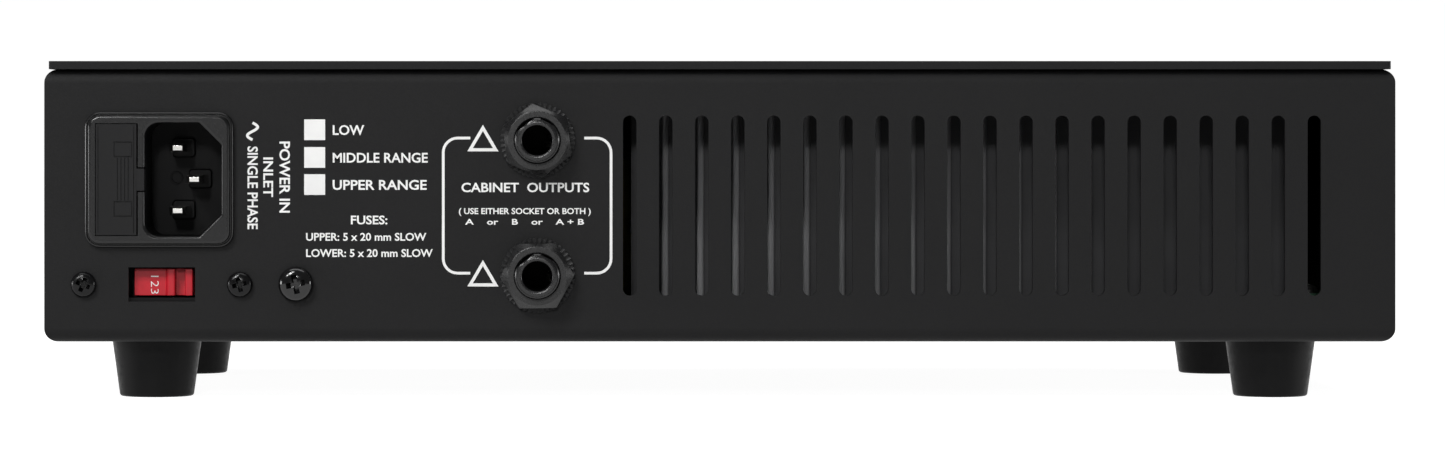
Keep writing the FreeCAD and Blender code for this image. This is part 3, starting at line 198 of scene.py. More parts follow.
CONTACT_METAL = surface("contact_metal", (0.7, 0.68, 0.62), 0.28, metallic=1.0, grain=1200,
                        relief=0.15, depth=0.03, variation=0.15, patches=200,
                        stretch=(1, 0.1, 1))
ZINC = surface("zinc_plate", (0.6, 0.6, 0.58), 0.32, metallic=1.0, grain=1500, relief=0.2,
               depth=0.03, variation=0.15, patches=250)
NICKEL = surface("bright_nickel", (0.78, 0.77, 0.75), 0.12, metallic=1.0, grain=700, relief=0.06,
                 depth=0.02, variation=0.06, patches=200, gloss_change=0.04)
TURNED_ALUMINIUM = surface("turned_aluminium", (0.7, 0.7, 0.7), 0.3, metallic=1.0, grain=1500,
                           relief=0.2, depth=0.03, variation=0.1, stretch=(1, 0.1, 1))
SLIDER_RED = surface("slider_red", (0.46, 0.009, 0.02), 0.42, grain=2600, relief=0.22,
                     depth=0.06, variation=0.12, patches=260, gloss_change=0.08, specular=0.3)
SELECTOR_BLACK = surface("selector_black", (0.003, 0.003, 0.0033), 0.5, grain=2600, relief=0.2,
                         depth=0.06, variation=0.15, patches=200, specular=0.12)
WHITE_PRINT = surface("white_print", (0.83, 0.83, 0.82), 0.55, grain=2300, relief=0.2, depth=0.04,
                      variation=0.04, patches=160, gloss_change=0.05)
FASCIA_BLACK = surface("fascia_brushed_black", (0.02, 0.02, 0.021), 0.36, metallic=0.55,
                       grain=1600, relief=0.35, depth=0.05, variation=0.2, patches=60,
                       stretch=(0.03, 1, 1), gloss_change=0.1)
KNOB_PLASTIC = surface("knob_plastic", (0.016, 0.016, 0.017), 0.3, grain=1500, relief=0.1,
                       depth=0.05, variation=0.15, patches=150, gloss_change=0.06)
SINK_BLACK = surface("anodised_sink", (0.045, 0.045, 0.047), 0.45, grain=1400, relief=0.3,
                     depth=0.06, variation=0.15, patches=60, stretch=(1, 1, 0.04), specular=0.15)
# Painted light: a pale copy of the anodised sink finish that stands in for the light falling on
# the ribs behind the slots.
RIB_PAINTED_LIGHT = surface("rib_painted_light", (0.42, 0.42, 0.43), 0.4, grain=1400, relief=0.3, depth=0.06,
                   variation=0.15, patches=60, stretch=(1, 1, 0.04))
CORE_TAPE = surface("core_tape", (0.6, 0.5, 0.12), 0.3, grain=500, relief=0.4, depth=0.3,
                    variation=0.18, patches=90, stretch=(1, 1, 0.2))
PAD_RUBBER = surface("pad_rubber", (0.03, 0.03, 0.03), 0.7, grain=1200, relief=0.3)
BOARD_GREEN = surface("board_green", (0.012, 0.09, 0.04), 0.35, grain=600, relief=0.15,
                      variation=0.35, patches=260)
PACKAGE_BLACK = surface("package_black", (0.02, 0.02, 0.022), 0.45, grain=2200, relief=0.25)
SLEEVE_BLUE = surface("capacitor_sleeve", (0.02, 0.025, 0.05), 0.28, grain=700, relief=0.12)
RELAY_BLUE = surface("relay_case", (0.03, 0.06, 0.2), 0.25, grain=1500, relief=0.12)
WIRE_SLEEVE = surface("wire_sleeve", (0.02, 0.02, 0.021), 0.4, grain=700, relief=0.3, depth=0.2)
RIBBON_GREY = surface("ribbon_grey", (0.4, 0.4, 0.41), 0.45, grain=700, relief=0.4,
                      depth=0.2, stretch=(1.4, 0.05, 0.05))


def make_clear(name, colour, roughness, transmission):
    """A finish that lets part of the light through."""
    material = surface(name, colour, roughness, grain=700, relief=0.05, variation=0.08)
    shader = next(n for n in material.node_tree.nodes if n.type == "BSDF_PRINCIPLED")
    shader.inputs["Transmission Weight"].default_value = transmission
    shader.inputs["IOR"].default_value = 1.49
    return material


LAMP_JEWEL = make_clear("lamp_jewel", (0.75, 0.02, 0.015), 0.08, 0.55)
FUSE_GLASS = make_clear("fuse_glass_clear", (0.85, 0.9, 0.88), 0.07, 0.85)


# --- mesh making, in millimetres in a frame of its own -----------------------------------------

def join_rings(bm, rings, closed=False):
    """Faces between neighbouring rings of points; a ring of one point closes the end."""
    pairs = list(zip(rings, rings[1:]))
    if closed:
        pairs.append((rings[-1], rings[0]))
    for lower, upper in pairs:
        count = max(len(lower), len(upper))
        for index in range(count):
            following = (index + 1) % count
            corners = [lower[index % len(lower)], lower[following % len(lower)],
                       upper[following % len(upper)], upper[index % len(upper)]]
            corners = list(dict.fromkeys(corners))
            if len(corners) > 2:
                bm.faces.new(corners)


def lathe(bm, profile, steps=72, closed=False, flats=()):
    """Turn (radius, height) points about +Z; a closed profile makes a tube.

    Each flat is an (angle, distance) pair: a plane that cuts the round form short."""
    rings = []
    for radius, height in profile:
        ring = []
        count = steps if radius > 1e-6 else 1
        for step in range(count):
            turn = math.tau * step / count
            reach = radius
            for angle, distance in flats:
                facing = math.cos(turn - math.radians(angle))
                if facing * reach > distance:
                    reach = distance / facing
            ring.append(bm.verts.new((reach * math.cos(turn), reach * math.sin(turn), height)))
        rings.append(ring)
    join_rings(bm, rings, closed)


def loop_at(bm, outline, height):
    return [bm.verts.new((x, y, height)) for x, y in outline]


def loft(bm, stages):
    """A closed solid through (outline, height) stages whose outlines have one point count."""
    rings = [loop_at(bm, outline, height) for outline, height in stages]
    join_rings(bm, rings)
    bm.faces.new(rings[0])
    bm.faces.new(rings[-1])


def prism(bm, outline, low, high):
    loft(bm, [(outline, low), (outline, high)])


def ring_prism(bm, outside, inside, low, high):
    """A flat frame between two outlines of the same number of points."""
    rings = [loop_at(bm, outside, low), loop_at(bm, outside, high),
             loop_at(bm, inside, high), loop_at(bm, inside, low)]
    join_rings(bm, rings, closed=True)


def rectangle(x, y, width, height):
    left, right, low, high = x - width / 2, x + width / 2, y - height / 2, y + height / 2
    return [(left, low), (right, low), (right, high), (left, high)]


def rounded(points, radii, steps=6):
    """An outline with each corner turned into an arc of its own radius."""
    if isinstance(radii, (int, float)):
        radii = [radii] * len(points)
    outline = []
    for index, (corner, radius) in enumerate(zip(points, radii)):
        here = Vector(corner)
        back = (Vector(points[index - 1]) - here).normalized()
        ahead = (Vector(points[(index + 1) % len(points)]) - here).normalized()
        half = back.angle(ahead) / 2
        centre = here + (back + ahead).normalized() * radius / math.sin(half)
        first = here + back * radius / math.tan(half) - centre
        last = here + ahead * radius / math.tan(half) - centre
        start = math.atan2(first.y, first.x)
        sweep = math.remainder(math.atan2(last.y, last.x) - start, math.tau)
        for step in range(steps + 1):
            turn = start + sweep * step / steps
            outline.append((centre.x + radius * math.cos(turn),
                            centre.y + radius * math.sin(turn)))
    return outline


def stroke(bm, points, width, low, high, closed=False):
    """A flat line of even width along points."""
    spots = [Vector(point) for point in points]
    left, right = [], []
    for index, spot in enumerate(spots):
        directions = []
        if index or closed:
            directions.append((spot - spots[index - 1]).normalized())
        if index + 1 < len(spots) or closed:
            directions.append((spots[(index + 1) % len(spots)] - spot).normalized())
        along = sum(directions, Vector((0, 0))).normalized()
        normal = Vector((-along.y, along.x))
        reach = width / 2 / max(0.2, abs(along.dot(directions[0])))
        left.append(tuple(spot + normal * reach))
        right.append(tuple(spot - normal * reach))
    if closed:
        ring_prism(bm, left, right, low, high)
    else:
        prism(bm, right + left[::-1], low, high)


def arc(x, y, radius, start, end, steps=8):
    turns = [math.radians(start + (end - start) * step / steps) for step in range(steps + 1)]
    return [(x + radius * math.cos(turn), y + radius * math.sin(turn)) for turn in turns]


def write(bm, words, x, y, cap, align="LEFT", turn=0.0, width=None, low=0.0, high=INK,
          weight=0.02):
    """Raised words: cap is the capitals' height, and width stretches the line to fit."""
    curve = bpy.data.curves.new("lettering", "FONT")
    curve.body = words
    curve.align_x = align
    curve.resolution_u = 3
    curve.offset = weight
    curve.extrude = 0.5
    text = bpy.data.objects.new("lettering", curve)
    bpy.context.scene.collection.objects.link(text)
    bpy.context.view_layer.update()
    depsgraph = bpy.context.evaluated_depsgraph_get()
    mesh = bpy.data.meshes.new_from_object(text.evaluated_get(depsgraph))
    bpy.data.objects.remove(text)
    across = [vertex.co.x for vertex in mesh.vertices]
    scale = cap / CAP_SHARE
    stretch = width / (max(across) - min(across)) if width else scale
    squeeze = Matrix.Diagonal((stretch, scale, high - low, 1))
    lift = Matrix.Translation((x, y, (low + high) / 2))
    mesh.transform(lift @ Matrix.Rotation(math.radians(turn), 4, "Z") @ squeeze)
    bm.from_mesh(mesh)
    bpy.data.meshes.remove(mesh)


def thread(start, end, crest, root, pitch):
    """Outline points of a screw thread, drawn as even ridges with a flat crest."""
    count = round(abs(end - start) / pitch)
    step = (end - start) / count
    points = []
    for index in range(count):
        base = start + step * index
        points += [(root, base + step * 0.1), (crest, base + step * 0.4),
                   (crest, base + step * 0.6), (root, base + step * 0.9)]
    return points


def hex_nut(bm, across_flats, height, bore, crown, slope=0.85):
    """A hexagon nut whose corners are turned down to a cone from a round crown."""
    turns = [math.tau * step / 72 for step in range(72)]
    sides, shoulders = [], []
    for turn in turns:
        off_flat = math.remainder(turn - math.pi / 6, math.pi / 3)
        radius = across_flats / 2 / math.cos(off_flat)
        spot = (radius * math.cos(turn), radius * math.sin(turn))
        sides.append(bm.verts.new((*spot, 0)))
        shoulders.append(bm.verts.new((*spot, height - (radius - crown) * slope)))
    rings = [sides, shoulders]
    chamfer = 0.2
    for radius, level in ((crown, height), (bore + chamfer, height), (bore, height - chamfer),
                          (bore, 0)):
        rings.append([bm.verts.new((radius * math.cos(turn), radius * math.sin(turn), level))
                      for turn in turns])
    join_rings(bm, rings, closed=True)


def cross_outline(reach, half_width):
    """A cross with four equal arms."""
    quarter = [(reach, -half_width), (reach, half_width), (half_width, half_width)]
    outline = []
    for turn in range(4):
        spin = Matrix.Rotation(math.pi / 2 * turn, 2)
        outline += [tuple(spin @ Vector(point)) for point in quarter]
    return outline


def pan_head(bm, radius, height, shank, length):
    """A screw with a domed head on z = 0 and a threaded shank below it."""
    profile = [(0, -length), (shank * 0.7, -length)]
    profile += thread(-length + shank * 0.4, -0.4, shank, shank * 0.84, 0.6)
    profile += [(shank, -0.2), (shank, 0), (radius * 0.97, 0), (radius, height * 0.12)]
    for step in range(1, 10):
        turn = math.pi / 2 * step / 9
        profile.append((radius * math.cos(turn) ** 0.62,
                        height * (0.3 + 0.7 * math.sin(turn) ** 0.95)))
    profile[-1] = (0, height)
    lathe(bm, profile, 64)


def driver_recess(bm, height, reach, half_width, depth):
    """The cross for a driver, which narrows from above the head down to its floor."""
    loft(bm, [(cross_outline(reach * 0.5, half_width * 0.55), height - depth),
              (cross_outline(reach * 1.15, half_width * 1.15), height + depth * 0.3)])


def shade(obj, angle=32.0):
    """Smooth shading that keeps edges sharper than the angle."""
    for polygon in obj.data.polygons:
        polygon.use_smooth = True
    obj.data.set_sharp_from_angle(angle=math.radians(angle))


def soften(obj, width, segments=2, angle=30.0):
    """Round the sharp edges a little, as moulding, coating and deburring do."""
    modifier = obj.modifiers.new("softened edges", "BEVEL")
    modifier.width = width * MM
    modifier.segments = segments
    modifier.limit_method = "ANGLE"
    modifier.angle_limit = math.radians(angle)
    modifier.harden_normals = True
    modifier.use_clamp_overlap = True


def new_mesh_object(name, parts):
    """One mesh from (bmesh in millimetres, place) parts."""
    whole = bmesh.new()
    for bm, place in parts:
        bmesh.ops.recalc_face_normals(bm, faces=bm.faces)
        mesh = bpy.data.meshes.new(name)
        bm.to_mesh(mesh)
        bm.free()
        mesh.transform(place @ Matrix.Scale(MM, 4))
        whole.from_mesh(mesh)
        bpy.data.meshes.remove(mesh)
    mesh = bpy.data.meshes.new(name)
    whole.to_mesh(mesh)
    whole.free()
    obj = bpy.data.objects.new(name, mesh)
    bpy.context.scene.collection.objects.link(obj)
    return obj


def make_piece(name, parts, body, material, nodes=(), edge=0.0, angle=32.0, holes=()):
    """A piece that rides on a body, with holes cut out of it for good."""
    obj = new_mesh_object(name, parts)
    for hole in holes:
        carve(obj, new_mesh_object("cutter", [hole]))
    obj.data.materials.append(material)
    shade(obj, angle)
    if edge:
        soften(obj, edge)
    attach(obj, body)
    if nodes:
        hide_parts(*nodes)
    return obj


def carve(obj, cutter):
    """Cut one mesh out of another and delete the cutter."""
    modifier = obj.modifiers.new("cut", "BOOLEAN")
    modifier.operation = "DIFFERENCE"
    modifier.solver = "EXACT"
    modifier.object = cutter
    bpy.context.view_layer.update()
    depsgraph = bpy.context.evaluated_depsgraph_get()
    mesh = bpy.data.meshes.new_from_object(obj.evaluated_get(depsgraph))
    obj.modifiers.remove(modifier)
    whole = obj.data
    obj.data = mesh
    bpy.data.meshes.remove(whole)
    bpy.data.objects.remove(cutter)


def shape(builder, *sizes, **named):
    """A new bmesh that one of the functions above has filled."""
    bm = bmesh.new()
    builder(bm, *sizes, **named)
    return bm


# --- CAD nodes that keep their own shape -------------------------------------------------------

def dress(nodes, material, edge=0.0):
    for name in nodes:
        obj = frame["nodes"][name]
        obj.data.materials.clear()
        obj.data.materials.append(material)
        if edge:
            soften(obj, edge, angle=32.0)


CONTROLS = [joint["child"].removesuffix("_control") for joint in frame["joints"]
            if joint["child"].endswith("_control")]
FEET = ["foot_rear_left", "foot_rear_right", "foot_front_left", "foot_front_right"]

dress(["chassis_shell"], POWDER_COAT, 0.22)
dress(["lid_plate"], LID_COAT, 0.25)
dress(FEET, RUBBER)
dress(["lid_screws"], BLACK_SCREW)
dress(["lid_clinch_nuts", "foot_screws", "m4_nuts", "selector_nuts", "pot_nuts",
       "transformer_plate", "transformer_bolt", "board_standoffs", "board_screws", "pot_bodies"],
      ZINC)
dress(["earth_ring", "fuse_caps"], PIN_METAL, 0.2)
dress(["fuse_glass"], FUSE_GLASS)
dress(["selector_housing"], SELECTOR_BLACK)
dress(["fascia_plate"], FASCIA_BLACK, 0.3)
dress(["shaft_" + name for name in CONTROLS], TURNED_ALUMINIUM)
dress(["heat_sink"], SINK_BLACK, 0.25)
dress(["sink_spacers"], SINK_BLACK)
dress(["transformer_toroid"], CORE_TAPE)
dress(["transformer_pads"], PAD_RUBBER)
dress(["main_board", "control_board"], BOARD_GREEN)
dress(["power_transistors", "bridge_rectifier"], PACKAGE_BLACK, 0.3)
dress(["reservoir_capacitors"], SLEEVE_BLUE)
dress(["board_relay"], RELAY_BLUE, 0.4)
dress(["mains_loom", "secondary_loom"], WIRE_SLEEVE)
dress(["signal_ribbon"], RIBBON_GREY)


# --- mains inlet --------------------------------------------------------------------------------

# Places are measured from the middle of the inlet's flange, on the panel's face, seen from
# behind: x to the right, y up and z out of the panel.
INLET = rear_view(middle("inlet_housing").x, REAR_FACE, middle("inlet_housing").z)
FLANGE_FACE = (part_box("inlet_housing")[1].y - REAR_FACE) / MM
CAVITY_LEFT, CAVITY_RIGHT, CAVITY_RISE, CAVITY_DEPTH = -3.1, 13.9, 12.6, 17.0
DRAWER_LEFT, DRAWER_RIGHT, DRAWER_RISE, DRAWER_DEPTH = -14.0, -4.85, 12.4, 26.0
BLADES = ((3.8, 7.0), (3.8, -7.0), (7.5, 0.0))


def cavity_outline(grow=0.0):
    """The socket's outline: rounded beside the drawer, with two cut corners on the far side."""
    chamfer, high = 5.0, CAVITY_RISE + grow
    left, right = CAVITY_LEFT - grow, CAVITY_RIGHT + grow
    points = [(left, -high), (right - chamfer, -high), (right, chamfer - high),
              (right, high - chamfer), (right - chamfer, high), (left, high)]
    return rounded(points, [3.2, 0.7, 0.7, 0.7, 0.7, 3.2])


def make_inlet():
    """A moulding with two stepped rims, a deep cavity and low bosses round the blades."""
    body = bmesh.new()
    stages = []
    for width, height, corner, level in (
            (30.2, 27.4, 1.5, -30), (30.2, 27.4, 1.5, 0), (33, 30, 3.3, 0), (33, 30, 3.3, 1.0),
            (32.8, 29.8, 3.2, 1.3), (32.4, 29.4, 3.0, 1.45), (32.1, 29.1, 2.9, 1.4),
            (31.9, 28.9, 2.8, 0.9), (31.5, 28.5, 2.6, 0.9), (31.4, 28.4, 2.6, 1.9),
            (31.2, 28.2, 2.5, 2.25), (30.7, 27.7, 2.3, 2.45), (30.2, 27.2, 2.1, FLANGE_FACE)):
        stages.append((rounded(rectangle(0, 0, width, height), corner), level))
    loft(body, stages)
    cavity = bmesh.new()
    lip = ((0, -0.5), (0.05, -0.3), (0.15, -0.15), (0.3, -0.05), (0.5, 0), (0.5, 1))
    loft(cavity, [(cavity_outline(), -CAVITY_DEPTH)]
         + [(cavity_outline(grow), FLANGE_FACE + rise) for grow, rise in lip])
    above = FLANGE_FACE + 1
    slot = shape(prism, rectangle(-9.35, 0, 9.5, 25), FLANGE_FACE - DRAWER_DEPTH - 0.3, above)
    notch = shape(prism, rectangle(-4.2, 0, 2.8, 5.5), FLANGE_FACE - 3.3, above)
    shell = make_piece("inlet_shell", [(body, INLET)], "chassis", INLET_PLASTIC,
                       ["inlet_housing"], angle=28,
                       holes=[(cavity, INLET), (slot, INLET), (notch, INLET)])
    # Inside the socket the moulding gets the darker finish, painted shade for the hollow. The
    # faces that look at the viewer stay flat.
    shell.data.materials.append(RECESS_SHADE_PLASTIC)
    for polygon in shell.data.polygons:
        if polygon.center.y < REAR_FACE:
            polygon.material_index = 1
        if polygon.normal.y > 0.999:
            polygon.use_smooth = False

    # The bosses on the cavity floor take the same painted shade as the hollow round them.
    bosses = bmesh.new()
    for x, y in BLADES:
        loft(bosses, [
            (rounded(rectangle(x + 0.35, y, width, height), corner), rise - CAVITY_DEPTH)
            for width, height, corner, rise in (
                (5.3, 4.5, 0.9, -0.2), (5.2, 4.4, 0.9, 1.1), (4.7, 3.9, 0.7, 1.4))])
    ring = bmesh.new()
    lathe(ring, [(0, 0.3), (1.0, 0.3), (1.1, 0.6), (1.35, 0.6), (1.5, -0.2), (0, -0.2)], 32)
    spot = INLET @ Matrix.Translation((2.5 * MM, 0.2 * MM, -CAVITY_DEPTH * MM))
    make_piece("inlet_bosses", [(bosses, INLET), (ring, spot)], "chassis", RECESS_SHADE_PLASTIC)

    blades = bmesh.new()
    tip = -2.5
    for x, y in BLADES:
        loft(blades, [(rectangle(x, y, 4, 2), tip - 36), (rectangle(x, y, 4, 2), tip - 2.4),
                      (rectangle(x, y, 2.5, 1.3), tip - 0.3), (rectangle(x, y, 2.1, 1.0), tip)])
    make_piece("inlet_blades", [(blades, INLET)], "chassis", PIN_METAL,
               ["inlet_pins"], edge=0.06)


def make_drawer():
    """The fuse drawer's head lies flush in the flange and carries a moulded fuse sign."""
    width, centre = DRAWER_RIGHT - DRAWER_LEFT, (DRAWER_LEFT + DRAWER_RIGHT) / 2
    block = shape(loft, [
        (rectangle(centre, 0, width, 2 * DRAWER_RISE), FLANGE_FACE - DRAWER_DEPTH),
        (rectangle(centre, 0, width, 2 * DRAWER_RISE), FLANGE_FACE - 0.15),
        (rectangle(centre, 0, width - 0.2, 2 * DRAWER_RISE - 0.2), FLANGE_FACE)])
    # Two bays hold the fuses, and shallow grooves in the head draw the sign and two long lines.
    half_bay, fuse_depths = 3.2, (8, 18)
    cuts = [shape(prism, rectangle(-11.1, 0, 9.9, 21.2), FLANGE_FACE - depth - half_bay,
                  FLANGE_FACE - depth + half_bay) for depth in fuse_depths]
    groove = (FLANGE_FACE - 0.3, FLANGE_FACE + 0.3)
    for y in (6.7, -6.5):
        cuts.append(shape(stroke, rectangle(-7.85, y, 3.9, 3.2), 0.26, *groove, closed=True))
    for x in (-9.1, -8.3, -7.5, -6.7):
        cuts.append(shape(stroke, [(x, -4.6), (x, 4.8)], 0.2, *groove))
    for x in (-13.4, -5.5):
        cuts.append(shape(stroke, [(x, -11.8), (x, 11.8)], 0.18, *groove))
    make_piece("drawer_tray", [(block, INLET)], "fuse_drawer", DRAWER_PLASTIC,
               ["fuse_drawer"], holes=[(cut, INLET) for cut in cuts])
    tab = shape(prism, rounded(rectangle(-4.1, 0, 1.8, 4.9), 0.15, 2), FLANGE_FACE - 3,
                FLANGE_FACE)
    make_piece("drawer_tab", [(tab, INLET)], "fuse_drawer", DRAWER_PLASTIC)


make_inlet()
make_drawer()


# --- screws and voltage selector ----------------------------------------------------------------

def make_panel_screws():
    """Two small screws that hold the selector, and the larger earth screw beside them."""
    low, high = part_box("selector_screws")
    head, height = (high.z - low.z) / 2 / MM, 2.0
    places = [rear_view(x, REAR_FACE, middle("selector_screws").z, turn)
              for x, turn in ((high.x - head * MM, -22), (low.x + head * MM, 14))]
    make_piece("selector_screw_pair",
               [(shape(pan_head, head, height, 1.5, 8), place) for place in places],
               "chassis", BLACK_SCREW, ["selector_screws"], angle=50,
               holes=[(shape(driver_recess, height, 1.7, 0.5, 1.5), place) for place in places])
    centre = middle("earth_screw")
    place, height = rear_view(centre.x, REAR_FACE, centre.z, 12), 2.9
    make_piece("earth_screw_domed", [(shape(pan_head, 3.9, height, 2, 12), place)], "chassis",
               EARTH_SCREW, ["earth_screw"], angle=50,
               holes=[(shape(driver_recess, height, 2.2, 0.62, 2.0), place)])


def make_slider():
    """The selector's slider: a numbered face, a ridge, a driver groove and a second ridge."""
    low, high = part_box("selector_slider")
    place = rear_view(high.x, high.y, (low.z + high.z) / 2)
    half = (high.z - low.z) / 2 / MM
    depths = [(0, -6), (0, -1.05), (7.0, -1), (7.3, -0.3), (7.7, 0), (8.85, 0), (9.15, -0.25),
              (9.15, -2.2), (11.2, -2.2), (11.35, -2.0), (11.35, -0.2), (11.55, 0), (12.9, 0),
              (13.1, -0.3), (13.1, -4.6), (18.2, -4.6), (18.2, -6)]
    bm = shape(prism, depths, -half, half)
    bmesh.ops.rotate(bm, verts=bm.verts, matrix=Matrix.Rotation(math.pi / 2, 3, "X"))
    make_piece("slider_body", [(bm, place)], "voltage_slider", SLIDER_RED,
               ["selector_slider"], edge=0.12)
    numbers = bmesh.new()
    write(numbers, "123", 3.65, 2.1, 1.85, turn=-90, width=4.0, low=-1.1, high=-0.96,
          weight=-0.012)
    make_piece("slider_numbers", [(numbers, place)], "voltage_slider", WHITE_PRINT)


make_panel_screws()
make_slider()


# --- jack sockets -------------------------------------------------------------------------------

JACK_BORE, JACK_NOSE = 3.3, 4.9
JACK_BODY, JACK_DEPTH, JACK_BORE_DEPTH = 16, 24, 22
JACK_NUT, JACK_NUT_HEIGHT = 14.4, 3.4


def jack_nose(back, reach):
    """The threaded nose, a tube through the wall with two flats on its thread."""
    root = JACK_NOSE - 0.25
    nose = [(JACK_BORE, -back), (JACK_BORE, reach - 0.45), (JACK_BORE + 0.15, reach - 0.12),
            (JACK_BORE + 0.4, reach), (JACK_NOSE - 0.8, reach), (JACK_NOSE - 0.4, reach - 0.2),
            (root, reach - 0.6)]
    nose += thread(reach - 0.8, -back, JACK_NOSE, root, FINE_PITCH)
    return shape(lathe, nose + [(root, -back)], 96, closed=True, flats=((128, 4.3), (62, 4.6)))


def make_jacks():
    """Two output sockets at the rear and the input at the front, with their nuts and washers."""
    nuts, washers, strips = [], [], []
    for name, spin in (("output_jack_low", 1), ("output_jack_high", 38), ("input_jack", 0)):
        low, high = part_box(name)
        centre = middle(name)
        if name == "input_jack":
            place, back = front_view(centre.x, FASCIA_FACE, centre.z), FRONT_WALL
            reach = (FASCIA_FACE - low.y) / MM
        else:
            place, back = rear_view(centre.x, REAR_FACE, centre.z), REAR_WALL
            reach = (high.y - REAR_FACE) / MM
        box = shape(loft, [
            (rounded(rectangle(0, 0, JACK_BODY - 1, JACK_BODY - 1), 0.8), -back - JACK_DEPTH),
            (rounded(rectangle(0, 0, JACK_BODY, JACK_BODY), 1), -back - JACK_DEPTH + 0.6),
            (rounded(rectangle(0, 0, JACK_BODY, JACK_BODY), 1), -back)])
        end = -back - JACK_BORE_DEPTH
        bore = shape(lathe, [(0, end), (JACK_BORE, end), (JACK_BORE, 1), (0, 1)])
        slot = shape(prism, rectangle(3.7, 0, 2.4, 3.6), end - 0.2, -back - 1.2)
        # The box behind the wall, seen only down the bore, takes the painted shade of the hollow.
        make_piece(name + "_moulding", [(box, place)], "chassis", RECESS_SHADE_PLASTIC,
                   [name], holes=[(bore, place), (slot, place)])
        nose = make_piece(name + "_nose", [(jack_nose(back, reach), place)], "chassis",
                          JACK_PLASTIC, [name], angle=40)
        # The wall of the bore gets the darker finish, painted shade for the hollow, like the box
        # behind it.
        nose.data.materials.append(RECESS_SHADE_PLASTIC)
        for polygon in nose.data.polygons:
            off_axis = (polygon.center - place.translation) * Vector((1, 0, 1))
            if off_axis.length < (JACK_BORE + 0.05) * MM:
                polygon.material_index = 1
        # The spring strip bends into the bore, where it meets a plug.
        path = [(4.2, end + 0.2), (4.2, -back - 13), (2.1, -back - 3.8), (2.9, -back - 2.2)]
        strip = shape(stroke, path, 0.35, -1.5, 1.5)
        bmesh.ops.rotate(strip, verts=strip.verts, matrix=Matrix.Rotation(math.pi / 2, 3, "X"))
        strips.append((strip, place))
        turn = Matrix.Rotation(math.radians(spin), 4, "Z")
        lift = Matrix.Translation((0, 0, MM))
        nuts.append((shape(hex_nut, JACK_NUT, JACK_NUT_HEIGHT, JACK_NOSE + 0.05, 6.5, 1.15),
                     place @ lift @ turn))
        washers.append((shape(toothed_washer, 8.4, 5, 0.95), place))
    make_piece("jack_nut_set", nuts, "chassis", NUT_PLASTIC, ["jack_nuts"],
               edge=0.12, angle=25)
    make_piece("jack_washer_set", washers, "chassis", WASHER_STEEL,
               ["jack_washers"], edge=0.08)
    make_piece("jack_contact_set", strips, "chassis", CONTACT_METAL,
               ["jack_contacts"])


def toothed_washer(bm, radius, bore, height):
    """A lock washer with slanting teeth round its rim."""
    teeth, notch, bend, plate = 44, 0.22, 0.2, height - 0.3
    low_in, low_out, high_out, high_in = [], [], [], []
    for step in range(teeth * 4):
        turn = math.tau * step / (teeth * 4)
        reach = radius if step % 4 in (1, 2) else radius - notch
        top = plate + (bend if step % 4 == 1 else 0.0)
        way = Vector((math.cos(turn), math.sin(turn)))
        low_in.append(bm.verts.new((*(way * bore), 0)))
        low_out.append(bm.verts.new((*(way * reach), 0)))
        high_out.append(bm.verts.new((*(way * reach), top)))
        high_in.append(bm.verts.new((*(way * bore), plate)))
    join_rings(bm, [low_in, low_out, high_out, high_in], closed=True)


make_jacks()


# --- ribs of the heat sink -----------------------------------------------------------------------

def make_ribs():
    """Low ribs on the flat face of the heat sink, on the pitch of the rear panel's slots.

    They are a guess at the bright streaks behind the slots, and their pale colour is painted light
    that stands in for the brightness of those streaks."""
    low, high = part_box("heat_sink")
    pitch, count, first = 8.0, 18, 12.0
    left, crown, right = -0.55, -0.3, 1.0
    rise, shoulder, sunk = 1.1, 0.85, -0.3
    half = (high.z - low.z) / 2 / MM - 0.6
    bow = [(crown + (right - crown) * math.sin(turn), rise * math.cos(turn))
           for turn in (math.radians(degrees) for degrees in range(0, 91, 15))]
    outline = [(left, sunk), (left, shoulder)] + bow + [(right, sunk)]
    ribs = bmesh.new()
    for step in range(count):
        shift = pitch * step - first
        prism(ribs, [(x + shift, y) for x, y in outline], -half, half)
    bmesh.ops.rotate(ribs, verts=ribs.verts, matrix=Matrix.Rotation(math.pi / 2, 3, "X"))
    # The ribs' pale finish is painted light.
    make_piece("sink_ribs", [(ribs, rear_view(0, high.y, (low.z + high.z) / 2))], "chassis",
               RIB_PAINTED_LIGHT, angle=40)


make_ribs()


# --- rear panel print ---------------------------------------------------------------------------

